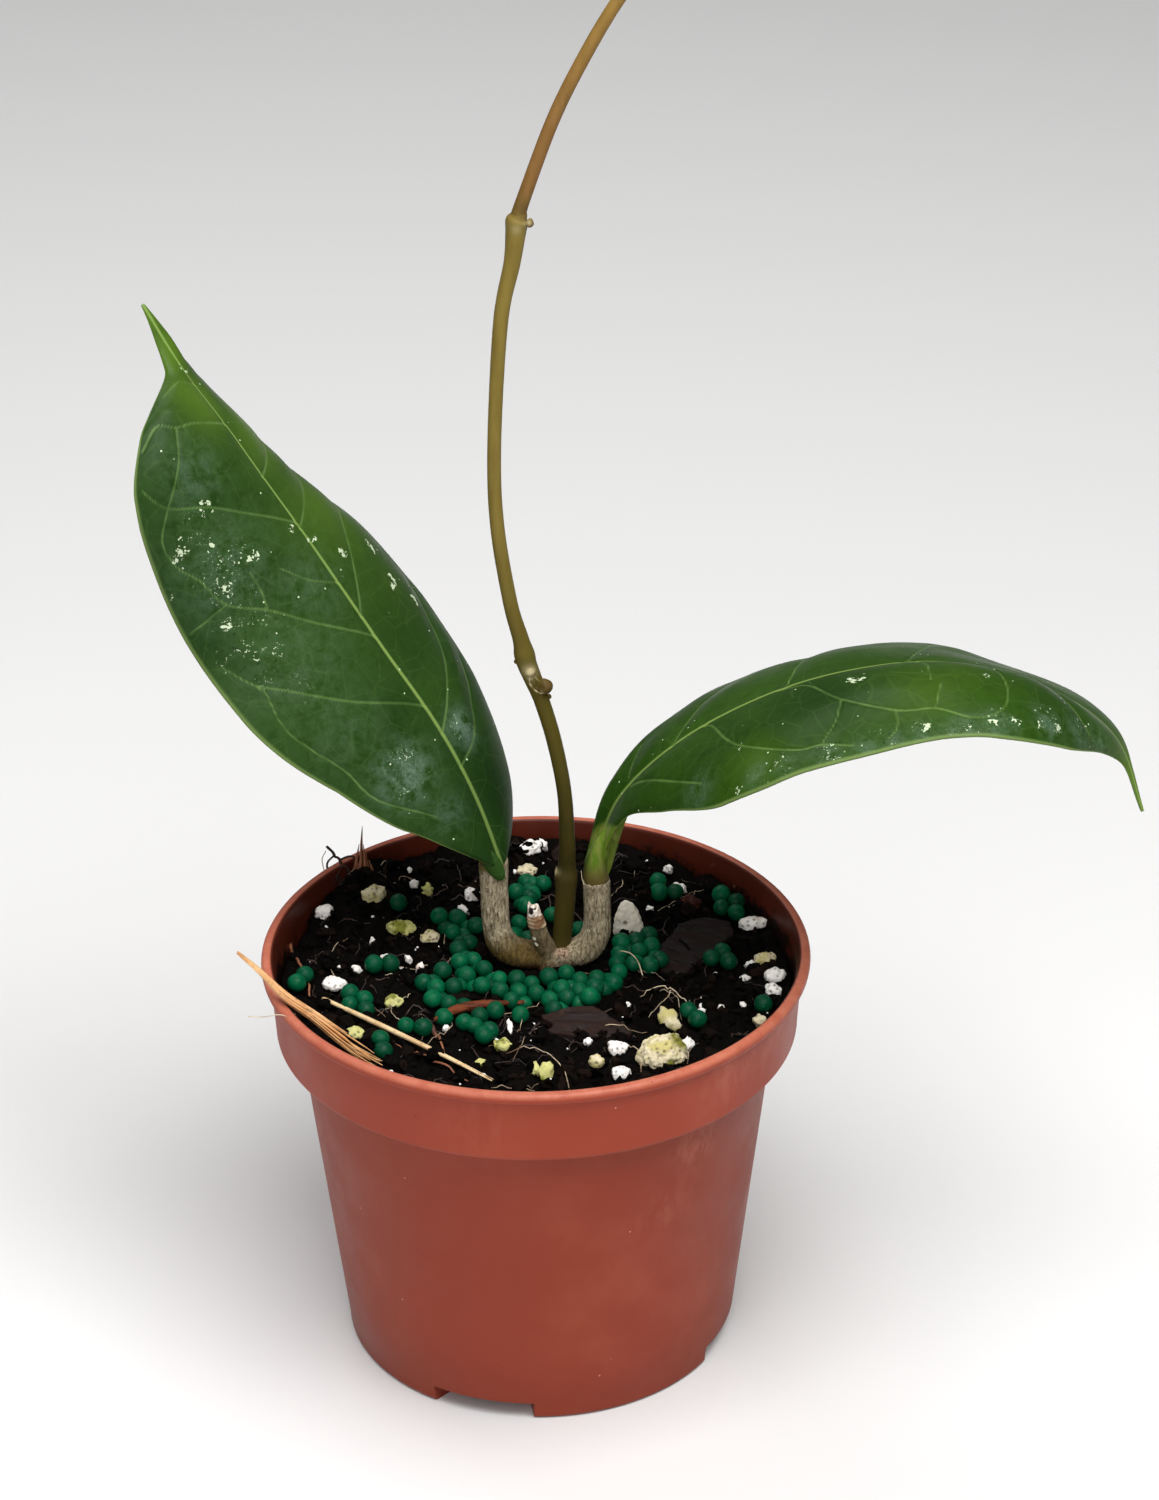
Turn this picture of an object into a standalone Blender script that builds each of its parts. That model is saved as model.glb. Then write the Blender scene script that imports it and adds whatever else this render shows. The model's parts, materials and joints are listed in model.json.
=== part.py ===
"""Potted hoya: a rooted cutting with two leaves and one long new vine.

The plant stands in a small tapered plastic nursery pot filled with a dark,
chunky potting mix.  Feed pellets, perlite, bark and straw lie on the mix.
Origin: centre of the pot's foot, on the surface that it stands on.
Lengths below are millimetres, angles are degrees.
"""
import math
import random

import bmesh
import bpy
import numpy as np
from mathutils import Matrix, Vector, noise

MM = 0.001

# the gap kept between pieces that touch
SEAT_GAP = 0.3

# pot
POT_HEIGHT = 94.5
POT_LIP_RADIUS = 60.0
POT_COLLAR_RADIUS = 58.2
POT_COLLAR_FOOT_RADIUS = 57.3
POT_LEDGE_HEIGHT = 77.0
POT_BODY_TOP_RADIUS = 52.2
POT_FOOT_RADIUS = 43.5
POT_FLOOR = 1.2
POT_STEPS = 54
FOOT_RECESSES = 4
FOOT_RECESS_TURN = -17.0
FOOT_RECESS_HEIGHT = 4.2
FOOT_RECESS_WIDTH = 25.0
FOOT_RECESS_NECK = 10.0
FOOT_RECESS_REACH = 29.5
DRAIN_HOLE_RADIUS = 3.5

# potting mix
MIX_LEVEL = 86.4
MIX_RIM_RADIUS = 55.7
MIX_RINGS = (MIX_RIM_RADIUS, 52.0, 47.0, 42.0, 36.5, 31.0, 25.5, 20.0, 14.0, 7.5)
MIX_TURNS = 44
# how fast the surface falls toward the front, and rises toward the back
MIX_FRONT_FALL = 0.012
MIX_BACK_RISE = 0.0015
# swells and hollows: height, centre and reach
MIX_SWELLS = [(5.0, (-41.0, 37.0), 9.0), (1.2, (3.0, 8.0), 16.0), (-1.6, (46.0, 4.0), 12.0)]
# ripples: height, turns along x and y, start
MIX_RIPPLES = [(0.35, 0.31, 0.17, 0.0), (0.30, -0.35, 0.23, 1.3)]

# old cutting
CUTTING_RADIUS = 3.4
CUTTING_FOOT = 46.0
STUB_RADIUS = 2.1
LEFT_JOINT = 109.6
RIGHT_JOINT = 106.6

# new vine: centre line and radius at each point
VINE = [
    ((5.3, 6.5, 87.0), 2.5),
    ((5.5, 6.5, 91.0), 2.5),
    ((6.0, 6.5, 100.0), 2.35),
    ((6.5, 6.5, 107.0), 2.35),
    ((6.6, 6.5, 109.0), 2.65),
    ((6.6, 6.5, 111.5), 2.0),
    ((6.6, 6.2, 120.0), 1.7),
    ((6.5, 6.0, 130.0), 1.6),
    ((4.5, 5.5, 142.5), 1.65),
    ((2.0, 5.0, 152.5), 1.7),
    ((0.4, 4.6, 157.5), 1.9),
    ((-1.0, 4.5, 161.5), 2.1),
    ((-1.6, 4.5, 164.0), 2.25),
    ((-2.4, 4.5, 168.0), 1.75),
    ((-4.5, 4.0, 177.0), 1.55),
    ((-6.9, 3.5, 195.0), 1.5),
    ((-7.2, 3.5, 213.0), 1.45),
    ((-5.5, 5.5, 239.5), 1.55),
    ((-3.0, 7.0, 252.0), 1.6),
    ((-2.2, 7.8, 258.0), 1.75),
    ((-1.9, 8.0, 260.5), 2.5),
    ((-1.5, 8.1, 262.5), 2.1),
    ((-0.6, 8.4, 265.0), 1.35),
    ((5.5, 10.5, 281.0), 1.4),
    ((11.5, 12.0, 293.0), 1.4),
    ((18.5, 14.0, 304.5), 1.35),
    ((27.0, 16.5, 315.5), 1.3),
    ((29.0, 17.0, 317.8), 1.9),
    ((31.0, 17.6, 320.0), 1.2),
    ((38.5, 20.0, 327.5), 1.1),
    ((45.5, 22.5, 333.5), 0.9),
    ((50.0, 24.0, 337.0), 0.6),
]
NODE_BUDS = [
    ((2.6, 3.6, 157.0), 1.9, 3.0),
    ((-0.6, 2.9, 161.5), 1.5, 2.2),
    ((0.2, 6.2, 262.5), 1.2, 1.7),
    ((46.4, 23.8, 334.9), 1.2, 3.6),
    ((47.6, 22.4, 334.6), 1.1, 3.4),
]

# blades: the way that a flat blade's upper side would face
FACING = Vector((0.0, -0.881, 0.473))
LEAF_STATIONS = 26
LEAF_COLUMNS = 4
LEAF_THICK_MIDDLE = 1.5
LEAF_THICK_EDGE = 0.8
FOLD_AT_MIDRIB = 3.0

LEFT_MIDRIB = [
    (-7.6, 6.2, 111.8), (-13.0, 10.5, 127.5), (-21.5, 14.5, 143.5), (-31.5, 18.0, 158.0),
    (-41.5, 22.0, 173.0), (-51.5, 25.5, 187.5), (-61.5, 29.0, 202.0), (-72.5, 33.0, 216.5),
    (-81.5, 36.5, 231.5),
]
LEFT_STATIONS = [0.0, 0.07, 0.15, 0.28, 0.42, 0.56, 0.70, 0.79, 0.85, 0.90, 0.95, 1.0]
LEFT_HALF_WIDTH = [2.5, 12.5, 21.5, 30.5, 37.0, 38.0, 35.5, 32.0, 22.5, 4.5, 2.2, 1.0]
LEFT_ROLL = ([0.0, 0.25, 0.50, 0.75, 0.86, 0.94, 1.0], [-41.0, -40.0, -48.0, -68.0, -74.0, -35.0, -20.0])
LEFT_CURL_PLUS = ([0.0, 0.33, 0.67, 0.88, 1.0], [-40.0, -53.0, -56.0, -36.0, -5.0])
LEFT_CURL_MINUS = ([0.0, 0.33, 0.67, 0.88, 1.0], [-29.0, -35.0, -88.0, -60.0, -5.0])
LEFT_KEEL_FOOT = [(-9.1, 7.4, LEFT_JOINT + SEAT_GAP), (-8.9, 7.9, 112.5)]

RIGHT_MIDRIB = [
    (13.5, 6.5, 110.5), (18.5, 5.0, 129.5), (32.0, 3.0, 144.5), (48.5, 1.5, 155.5), (67.0, -0.5, 162.5),
    (87.0, -2.0, 165.0), (106.0, -4.0, 161.0), (122.5, -5.5, 149.5), (130.0, -7.5, 131.5),
]
RIGHT_STATIONS = [0.0, 0.06, 0.12, 0.20, 0.30, 0.42, 0.56, 0.70, 0.80, 0.87, 0.94, 1.0]
RIGHT_HALF_WIDTH = [3.2, 4.8, 8.0, 17.5, 29.5, 34.5, 33.5, 31.5, 21.5, 10.0, 2.2, 1.0]
RIGHT_ROLL = ([0.0, 0.12, 0.25, 0.45, 0.70, 0.88, 1.0], [46.0, 58.0, 67.0, 71.0, 88.0, 73.0, 34.0])
RIGHT_CURL_PLUS = ([0.0, 0.20, 0.40, 0.67, 0.88, 1.0], [5.0, -26.0, -27.0, -58.0, -35.0, -5.0])
RIGHT_CURL_MINUS = ([0.0, 0.20, 0.40, 0.67, 0.88, 1.0], [30.0, -20.0, -34.0, 4.0, -10.0, -5.0])
RIGHT_KEEL_FOOT = [(13.3, 6.5, RIGHT_JOINT + SEAT_GAP), (13.6, 7.0, 110.0)]

# feed pellets
PELLET_RADIUS = 1.9
# the heap's outline: centre and reach of the ellipses that make it up
HEAP_FIELDS = [((0.5, -4.6), (22.0, 10.6)), ((22.5, 8.0), (7.5, 9.0)), ((-17.0, 9.0), (6.5, 8.5))]
HEAP_PELLETS = 58
HEAP_TOP = [(-3.0, -3.6), (5.2, -4.6), (10.8, -2.4), (-9.4, -1.0), (17.0, 1.4)]
STEM_FOOT = ((-8.6, 6.5), (13.2, 6.5), 3.1)
STUB_FOOT = (2.0, 4.8)
PELLET_GROUPS = [
    ("pellets_behind_stem", (0.5, 14.6), 7, 17),
    ("pellets_back_left", (-1.5, 33.5), 4, 5),
    ("pellets_right_rear", (27.8, 32.8), 3, 12),
    ("pellets_right_far", (42.0, 27.6), 5, 23),
    ("pellets_right", (42.0, 6.4), 3, 31),
    ("pellets_right_edge", (49.2, -12.5), 1, 3),
    ("pellets_front_right", (34.6, -18.8), 2, 41),
    ("pellets_left", (-35.4, 3.2), 2, 52),
    ("pellets_left_rear", (-31.0, 26.9), 1, 4),
    ("pellets_left_edge", (-52.2, -3.2), 2, 61),
    ("pellets_front_left", (-40.0, -11.6), 4, 73),
    ("pellets_front", (-27.6, -21.0), 2, 82),
    ("pellets_front_rim", (-32.6, -29.6), 2, 87),
    ("pellets_near_front", (-12.9, -21.4), 2, 93),
]

# lumps that lie on the mix: name, place, size along x, y and z, turn, seed, kind
LUMPS = [
    ("perlite_left_rim", (-47.6, 24.6), (5.0, 4.4, 4.6), 20.0, 3, "perlite"),
    ("perlite_left_rear", (-36.6, 28.6), (7.0, 5.2, 5.6), 35.0, 8, "perlite_cream"),
    ("perlite_left_slab", (-30.2, 19.6), (8.4, 5.6, 4.2), -14.0, 11, "perlite_algae"),
    ("perlite_left_small", (-23.8, 15.4), (5.4, 4.2, 3.8), 12.0, 15, "perlite_cream"),
    ("perlite_rear_pink", (-14.6, 31.6), (4.4, 4.0, 4.8), 0.0, 19, "perlite"),
    ("perlite_rear_white", (-1.5, 49.6), (6.4, 4.6, 4.6), 18.0, 22, "perlite"),
    ("perlite_rear_cream", (-2.4, 42.0), (5.4, 4.6, 4.0), 0.0, 27, "perlite_cream"),
    ("perlite_pointed", (20.5, 21.6), (7.0, 5.4, 8.4), 10.0, 31, "perlite_grey"),
    ("perlite_right_rear", (48.2, 21.4), (7.6, 4.2, 4.2), 5.0, 36, "perlite"),
    ("perlite_right_cream", (50.4, 9.2), (6.2, 5.4, 4.6), 10.0, 41, "perlite_cream"),
    ("perlite_right_rim", (52.3, 1.4), (5.6, 5.2, 4.6), 30.0, 44, "perlite"),
    ("perlite_right_low", (51.6, -5.6), (4.6, 4.4, 4.2), 0.0, 47, "perlite"),
    ("perlite_left", (-44.2, -2.0), (6.2, 5.4, 4.6), -10.0, 52, "perlite"),
    ("perlite_left_green", (-31.0, -10.8), (5.0, 4.8, 4.4), 0.0, 55, "perlite_algae"),
    ("perlite_front_left", (-38.9, -22.6), (5.4, 4.8, 4.0), 0.0, 58, "perlite_algae"),
    ("perlite_front_green", (-7.2, -27.6), (4.8, 4.6, 4.0), 0.0, 61, "perlite_algae"),
    ("perlite_front_small", (12.9, -34.8), (4.2, 4.4, 4.8), 0.0, 66, "perlite_cream"),
    ("perlite_front_white", (18.0, -38.4), (5.0, 4.4, 4.4), 0.0, 69, "perlite"),
    ("perlite_front_pink", (17.4, -30.4), (5.0, 4.6, 5.0), 0.0, 72, "perlite"),
    ("perlite_front_large", (27.0, -32.4), (12.2, 9.4, 8.4), 24.0, 77, "perlite_cream"),
    ("bark_large", (35.2, 18.0), (15.5, 13.0, 8.0), 20.0, 81, "bark_red"),
    ("bark_small", (34.6, 28.6), (5.6, 3.8, 4.6), -20.0, 84, "bark_red"),
    ("bark_front", (11.6, -20.6), (18.6, 6.2, 4.4), -6.0, 88, "bark"),
    ("bark_rear", (5.4, 47.6), (5.2, 6.6, 5.2), 30.0, 91, "bark"),
]

# straws: centre line, half width and kind
BUNDLE_LINE = [
    (-63.8, -16.7, 104.0), (-58.6, -18.0, 99.4), (-53.1, -22.9, 96.2), (-46.5, -25.2, 92.0),
    (-39.5, -30.5, 89.2), (-33.0, -35.2, 87.6),
]
LIGHT_STRAW_LINE = [(-46.4, -9.1, 87.4), (-32.9, -21.7, 87.7), (-19.7, -33.8, 87.6), (-9.2, -43.1, 87.4)]
SLIVER_LINE = [(-22.0, -18.6, 87.7), (-16.9, -15.2, 88.3), (-10.8, -13.9, 88.7), (-2.6, -12.2, 88.1)]
STRAWS = [
    ("straw_bundle", BUNDLE_LINE, 1.1, "straw"),
    ("straw_light", LIGHT_STRAW_LINE, 0.6, "straw"),
    ("bark_sliver", SLIVER_LINE, 1.0, "bark_red"),
]

COLOURS = {
    "pot_plastic": ((0.33, 0.075, 0.04), 0.42),
    "potting_mix": ((0.012, 0.009, 0.007), 0.95),
    "corky_stem": ((0.22, 0.17, 0.10), 0.85),
    "leaf_green": ((0.03, 0.085, 0.018), 0.32),
    "vine": ((0.20, 0.15, 0.04), 0.5),
    "pellet": ((0.0, 0.12, 0.055), 0.45),
    "perlite": ((0.70, 0.66, 0.60), 0.95),
    "perlite_cream": ((0.62, 0.55, 0.36), 0.95),
    "perlite_algae": ((0.38, 0.42, 0.12), 0.95),
    "perlite_grey": ((0.45, 0.42, 0.38), 0.95),
    "bark": ((0.045, 0.022, 0.016), 0.85),
    "bark_red": ((0.085, 0.028, 0.016), 0.85),
    "straw": ((0.45, 0.30, 0.13), 0.7),
}


def clear_scene():
    for old in list(bpy.data.objects):
        bpy.data.objects.remove(old, do_unlink=True)


def material(name):
    found = bpy.data.materials.get(name)
    if found:
        return found
    colour, roughness = COLOURS[name]
    made = bpy.data.materials.new(name)
    made.use_nodes = True
    shader = made.node_tree.nodes["Principled BSDF"]
    shader.inputs["Base Color"].default_value = (*colour, 1.0)
    shader.inputs["Roughness"].default_value = roughness
    shader.inputs["Metallic"].default_value = 0.0
    return made


def put(name, mesh, slot=None, smooth=False):
    obj = bpy.data.objects.new(name, mesh)
    bpy.context.scene.collection.objects.link(obj)
    if slot:
        mesh.materials.clear()
        mesh.materials.append(material(slot))
    for face in mesh.polygons:
        face.use_smooth = smooth
    return obj


def from_bmesh(name, bm, slot=None, smooth=False, outward=True):
    """Scale from millimetres to metres and link as an object."""
    bmesh.ops.scale(bm, vec=(MM, MM, MM), verts=bm.verts)
    if outward:
        bmesh.ops.recalc_face_normals(bm, faces=bm.faces)
    mesh = bpy.data.meshes.new(name)
    bm.to_mesh(mesh)
    bm.free()
    return put(name, mesh, slot, smooth)


def apply_modifiers(obj):
    depsgraph = bpy.context.evaluated_depsgraph_get()
    depsgraph.update()
    mesh = bpy.data.meshes.new_from_object(obj.evaluated_get(depsgraph))
    obj.modifiers.clear()
    obj.data = mesh
    return obj


def boolean(obj, others, operation, solver="EXACT", keep=False):
    """Cut or join obj with each of the others, then drop them."""
    group = bpy.data.collections.new("tools")
    for other in others:
        group.objects.link(other)
    step = obj.modifiers.new(operation.lower(), "BOOLEAN")
    step.operation = operation
    step.solver = solver
    step.operand_type = "COLLECTION"
    step.collection = group
    apply_modifiers(obj)
    for other in others:
        group.objects.unlink(other)
        if not keep:
            bpy.data.objects.remove(other, do_unlink=True)
    bpy.data.collections.remove(group)
    return obj


def weld(obj, distance=0.0005):
    bm = bmesh.new()
    bm.from_mesh(obj.data)
    bmesh.ops.remove_doubles(bm, verts=bm.verts, dist=distance * MM)
    bmesh.ops.recalc_face_normals(bm, faces=bm.faces)
    bm.to_mesh(obj.data)
    bm.free()
    return obj


def curve_through(points, share):
    """A point on the smooth curve through the points, share running 0 to 1."""
    spans = len(points) - 1
    place = min(max(share, 0.0), 1.0) * spans
    i = min(int(place), spans - 1)
    t = place - i
    p1, p2 = Vector(points[i]), Vector(points[i + 1])
    p0 = Vector(points[i - 1]) if i > 0 else 2 * p1 - p2
    p3 = Vector(points[i + 2]) if i + 2 <= spans else 2 * p2 - p1
    m1, m2 = (p2 - p0) / 2, (p3 - p1) / 2
    t2, t3 = t * t, t * t * t
    return (2 * t3 - 3 * t2 + 1) * p1 + (t3 - 2 * t2 + t) * m1 + (3 * t2 - 2 * t3) * p2 + (t3 - t2) * m2


def value_at(knots, values, share):
    """Smooth interpolation that never overshoots its values."""
    slopes = [(values[i + 1] - values[i]) / (knots[i + 1] - knots[i]) for i in range(len(knots) - 1)]
    ends = [slopes[0]]
    for a, b in zip(slopes[:-1], slopes[1:]):
        ends.append(0.0 if a * b <= 0 else 2 * a * b / (a + b))
    ends.append(slopes[-1])
    i = 0
    while i < len(knots) - 2 and share > knots[i + 1]:
        i += 1
    width = knots[i + 1] - knots[i]
    t = (share - knots[i]) / width
    t2, t3 = t * t, t * t * t
    return ((2 * t3 - 3 * t2 + 1) * values[i] + (t3 - 2 * t2 + t) * width * ends[i]
            + (3 * t2 - 2 * t3) * values[i + 1] + (t3 - t2) * width * ends[i + 1])


def mix_height(x, y):
    """Height of the potting mix: low at the right, heaped at the back left."""
    z = MIX_LEVEL + (MIX_BACK_RISE * y * y if y > 0 else MIX_FRONT_FALL * y)
    for height, (cx, cy), reach in MIX_SWELLS:
        z += height * math.exp(-((x - cx) ** 2 + (y - cy) ** 2) / (2 * reach ** 2))
    for height, along_x, along_y, start in MIX_RIPPLES:
        z += height * math.sin(along_x * x + along_y * y + start)
    return z


def tube(name, points, radii, sides=10, grow=0.0, slot=None):
    """A round stem: a bevelled curve with filled caps, made into a closed mesh."""
    path = bpy.data.curves.new(name, "CURVE")
    path.dimensions = "3D"
    path.bevel_depth = MM
    path.bevel_resolution = max(0, (sides - 4) // 2)
    path.use_fill_caps = True
    spline = path.splines.new("POLY")
    spline.points.add(len(points) - 1)
    for point, place, radius in zip(spline.points, points, radii):
        point.co = (*(Vector(place) * MM), 1.0)
        point.radius = radius + grow
    holder = bpy.data.objects.new(name, path)
    bpy.context.scene.collection.objects.link(holder)
    depsgraph = bpy.context.evaluated_depsgraph_get()
    depsgraph.update()
    mesh = bpy.data.meshes.new_from_object(holder.evaluated_get(depsgraph))
    bpy.data.objects.remove(holder, do_unlink=True)
    bpy.data.curves.remove(path)
    return weld(put(name, mesh, slot, True))


def smooth_tube(name, points, radii, rings, sides=10, grow=0.0, slot=None):
    shares = [i / (len(points) - 1) for i in range(len(points))]
    places = [curve_through(points, k / rings) for k in range(rings + 1)]
    widths = [value_at(shares, radii, k / rings) for k in range(rings + 1)]
    return tube(name, places, widths, sides, grow, slot)


def lump(name, place, size, turn, seed, grow=0.0, rough=0.18):
    """An uneven grain, half sunk at the height of the mix."""
    x, y = place
    bm = bmesh.new()
    bmesh.ops.create_icosphere(bm, subdivisions=2 if size[0] > 12 else 1, radius=1.0)
    angle = math.radians(turn)
    for vert in bm.verts:
        k = 1.0 + rough * (noise.noise(vert.co * 1.7 + Vector((seed * 3.1, seed * 1.7, 0.0))))
        k += 0.5 * rough * noise.noise(vert.co * 3.9 + Vector((0.0, seed * 2.3, seed)))
        p = Vector((vert.co.x * (size[0] / 2 + grow), vert.co.y * (size[1] / 2 + grow),
                    vert.co.z * (size[2] / 2 + grow))) * k
        vert.co = Vector((p.x * math.cos(angle) - p.y * math.sin(angle) + x,
                          p.x * math.sin(angle) + p.y * math.cos(angle) + y,
                          p.z + mix_height(x, y) + size[2] * 0.14))
    return from_bmesh(name, bm)


# The pot: one moulded shell, revolved, with raised recesses round its foot.
def pot_profile():
    foot, body, ledge = POT_FOOT_RADIUS, POT_BODY_TOP_RADIUS, POT_LEDGE_HEIGHT
    low, collar, lip, top = POT_COLLAR_FOOT_RADIUS, POT_COLLAR_RADIUS, POT_LIP_RADIUS, POT_HEIGHT
    outside = [
        (0.0, 0.0), (foot - 0.8, 0.0), (foot, 0.8), (body, ledge - 1.6), (body + 0.9, ledge - 0.7),
        (low - 0.8, ledge - 0.4), (low, ledge + 0.6), (collar, top - 3.2), (lip - 0.7, top - 2.3),
        (lip, top - 1.6), (lip, top - 0.7), (lip - 0.7, top),
    ]
    inside = [
        (lip - 1.9, top), (lip - 2.6, top - 0.6), (collar - 1.3, top - 4.5), (low - 1.1, ledge + 1.6),
        (body - 1.0, ledge - 0.2), (foot - 1.1, 3.0), (foot - 2.4, POT_FLOOR), (0.0, POT_FLOOR),
    ]
    return outside + inside


def revolve(name, profile, steps, slot=None):
    """Turn a profile, given from the bottom up, into a closed body."""
    bm = bmesh.new()
    verts = [bm.verts.new((r, 0.0, z)) for r, z in profile]
    edges = [bm.edges.new(pair) for pair in zip(verts[:-1], verts[1:])]
    bmesh.ops.spin(bm, geom=verts + edges, cent=(0, 0, 0), axis=(0, 0, 1), angle=2 * math.pi, steps=steps,
                   use_merge=True, use_duplicate=False)
    bmesh.ops.remove_doubles(bm, verts=bm.verts, dist=0.001)
    return from_bmesh(name, bm, slot, True)


def recess_block(name, index, outer, bottom, top, spread):
    """A wedge that opens at the pot's foot and narrows toward its middle."""
    turn = math.radians(FOOT_RECESS_TURN + index * 360.0 / FOOT_RECESSES)
    half = FOOT_RECESS_WIDTH / 2 + spread
    neck = FOOT_RECESS_NECK / 2 + spread
    reach = FOOT_RECESS_REACH - spread
    wide = math.asin(half / POT_FOOT_RADIUS)
    outline = [(outer * math.sin(wide * k / 4), outer * math.cos(wide * k / 4)) for k in range(-4, 5)]
    outline += [(neck + 1.4, reach + 2.2), (neck, reach + 0.7), (neck - 1.4, reach), (1.4 - neck, reach),
                (-neck, reach + 0.7), (-neck - 1.4, reach + 2.2)]
    bm = bmesh.new()
    ring = []
    for side, away in outline:
        x = side * math.cos(turn) + away * math.sin(turn)
        y = side * math.sin(turn) - away * math.cos(turn)
        ring.append(bm.verts.new((x, y, bottom)))
    base = bm.faces.new(ring)
    grown = bmesh.ops.extrude_face_region(bm, geom=[base])
    for item in grown["geom"]:
        if isinstance(item, bmesh.types.BMVert):
            item.co.z = top
    return from_bmesh(name, bm)


def drain_hole(index):
    turn = math.radians(FOOT_RECESS_TURN + index * 360.0 / FOOT_RECESSES)
    away = FOOT_RECESS_REACH + 6.4
    bm = bmesh.new()
    bmesh.ops.create_cone(bm, cap_ends=True, segments=18, radius1=DRAIN_HOLE_RADIUS,
                          radius2=DRAIN_HOLE_RADIUS, depth=8.0)
    bmesh.ops.translate(bm, verts=bm.verts,
                        vec=(away * math.sin(turn), -away * math.cos(turn), FOOT_RECESS_HEIGHT + 0.5))
    return from_bmesh("drain", bm)


def make_pot():
    pot = revolve("pot", pot_profile(), POT_STEPS, "pot_plastic")
    roof = FOOT_RECESS_HEIGHT + POT_FLOOR
    raised = [recess_block("raised", i, POT_FOOT_RADIUS - 0.45, 0.5, roof, POT_FLOOR)
              for i in range(FOOT_RECESSES)]
    boolean(pot, raised, "UNION")
    hollow = [recess_block("hollow", i, POT_FOOT_RADIUS + 6.0, -2.0, FOOT_RECESS_HEIGHT, 0.0)
              for i in range(FOOT_RECESSES)]
    boolean(pot, hollow + [drain_hole(i) for i in range(FOOT_RECESSES)], "DIFFERENCE")
    pot.data.materials.clear()
    pot.data.materials.append(material("pot_plastic"))
    return pot


# The potting mix: fills the pot to just below its lip, with an uneven top.
def make_mix(holes):
    gap = SEAT_GAP + 0.1
    side = [
        (POT_FOOT_RADIUS - 2.6 - gap, POT_FLOOR + gap), (POT_FOOT_RADIUS - 1.2 - gap, 3.0 + gap),
        (POT_BODY_TOP_RADIUS - 1.1 - gap, POT_LEDGE_HEIGHT - 0.1 + gap),
        (POT_COLLAR_FOOT_RADIUS - 1.6 - gap, POT_LEDGE_HEIGHT + 1.8 + gap), (MIX_RIM_RADIUS - 0.4, 82.0),
    ]
    bm = bmesh.new()

    def ring(radius, height):
        out = []
        for k in range(MIX_TURNS):
            a = 2 * math.pi * k / MIX_TURNS
            x, y = radius * math.cos(a), radius * math.sin(a)
            out.append(bm.verts.new((x, y, mix_height(x, y) if height is None else height)))
        return out

    rings = [ring(r, z) for r, z in side]
    for radius in MIX_RINGS:
        rings.append(ring(radius, None))
    for low, high in zip(rings[:-1], rings[1:]):
        for k in range(MIX_TURNS):
            n = (k + 1) % MIX_TURNS
            bm.faces.new((low[k], low[n], high[n], high[k]))
    bm.faces.new(list(reversed(rings[0])))
    bm.faces.new(rings[-1])
    bmesh.ops.triangulate(bm, faces=[f for f in bm.faces if len(f.verts) == 4])
    mix = from_bmesh("potting_mix", bm, "potting_mix", True)
    roof = FOOT_RECESS_HEIGHT + POT_FLOOR + gap
    raised = [recess_block("raised", i, POT_FOOT_RADIUS + 3.0, -1.0, roof, POT_FLOOR + 2 * gap)
              for i in range(FOOT_RECESSES)]
    boolean(mix, raised + holes, "DIFFERENCE")
    mix.data.materials.clear()
    mix.data.materials.append(material("potting_mix"))
    return mix


def outline_of(rows):
    """The points round the edge of a grid, in order."""
    right = [row[-1] for row in rows[1:]]
    left = [row[0] for row in reversed(rows[1:-1])]
    return rows[0] + right + list(reversed(rows[-1][:-1])) + left


def mix_cutter(lift):
    """The volume under the surface of the mix, raised by the seat gap."""
    bm = bmesh.new()
    step = 4.0
    count = 30
    rows = []
    for j in range(count + 1):
        row = []
        for i in range(count + 1):
            x, y = -60.0 + step * i, -60.0 + step * j
            row.append(bm.verts.new((x, y, mix_height(x, y) + lift)))
        rows.append(row)
    for j in range(count):
        for i in range(count):
            bm.faces.new((rows[j][i], rows[j][i + 1], rows[j + 1][i + 1], rows[j + 1][i]))
    rim = outline_of(rows)
    low = [bm.verts.new((v.co.x, v.co.y, 60.0)) for v in rim]
    for k in range(len(rim)):
        n = (k + 1) % len(rim)
        bm.faces.new((rim[n], rim[k], low[k], low[n]))
    bm.faces.new(low)
    bmesh.ops.triangulate(bm, faces=[f for f in bm.faces if len(f.verts) == 4])
    return from_bmesh("under_mix", bm)


# The old cutting: a buried piece of stem, both corky petioles and the cut stub.
LEFT_PETIOLE = [
    (-9.1, 7.0, LEFT_JOINT), (-9.0, 6.9, 103.0), (-8.5, 6.6, 96.0), (-6.4, 6.5, 91.0), (-2.6, 6.5, 88.5),
    (2.5, 6.5, 87.9),
]
RIGHT_PETIOLE = [
    (1.5, 6.5, 87.9), (7.0, 6.5, 88.0), (10.6, 6.5, 90.2), (12.9, 6.5, 94.2), (13.5, 6.5, 99.5),
    (13.3, 6.5, RIGHT_JOINT),
]
LEFT_PETIOLE_RADII = [3.25, 3.05, 3.0, 2.95, 2.9, 3.0]
RIGHT_PETIOLE_RADII = [3.0, 2.95, 3.05, 3.1, 3.0, 3.0]
STUB = [(3.6, 6.0, 88.0), (2.4, 5.2, 91.0), (0.9, 4.2, 95.5), (0.2, 3.8, 99.0), (0.0, 3.6, 102.2)]
STUB_RADII = [2.4, 2.2, 2.0, 1.75, 1.55]
BURIED = [(3.2, 6.5, 89.0), (3.0, 6.4, 80.0), (2.2, 5.6, 62.0), (1.4, 4.8, CUTTING_FOOT)]


def petioles(grow):
    left = [Vector(p) for p in LEFT_PETIOLE]
    right = [Vector(p) for p in RIGHT_PETIOLE]
    left[0].z += 0.8 * grow
    right[-1].z += 0.8 * grow
    return [smooth_tube("left_petiole", left, LEFT_PETIOLE_RADII, 11, 10, grow),
            smooth_tube("right_petiole", right, RIGHT_PETIOLE_RADII, 11, 10, grow)]


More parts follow.
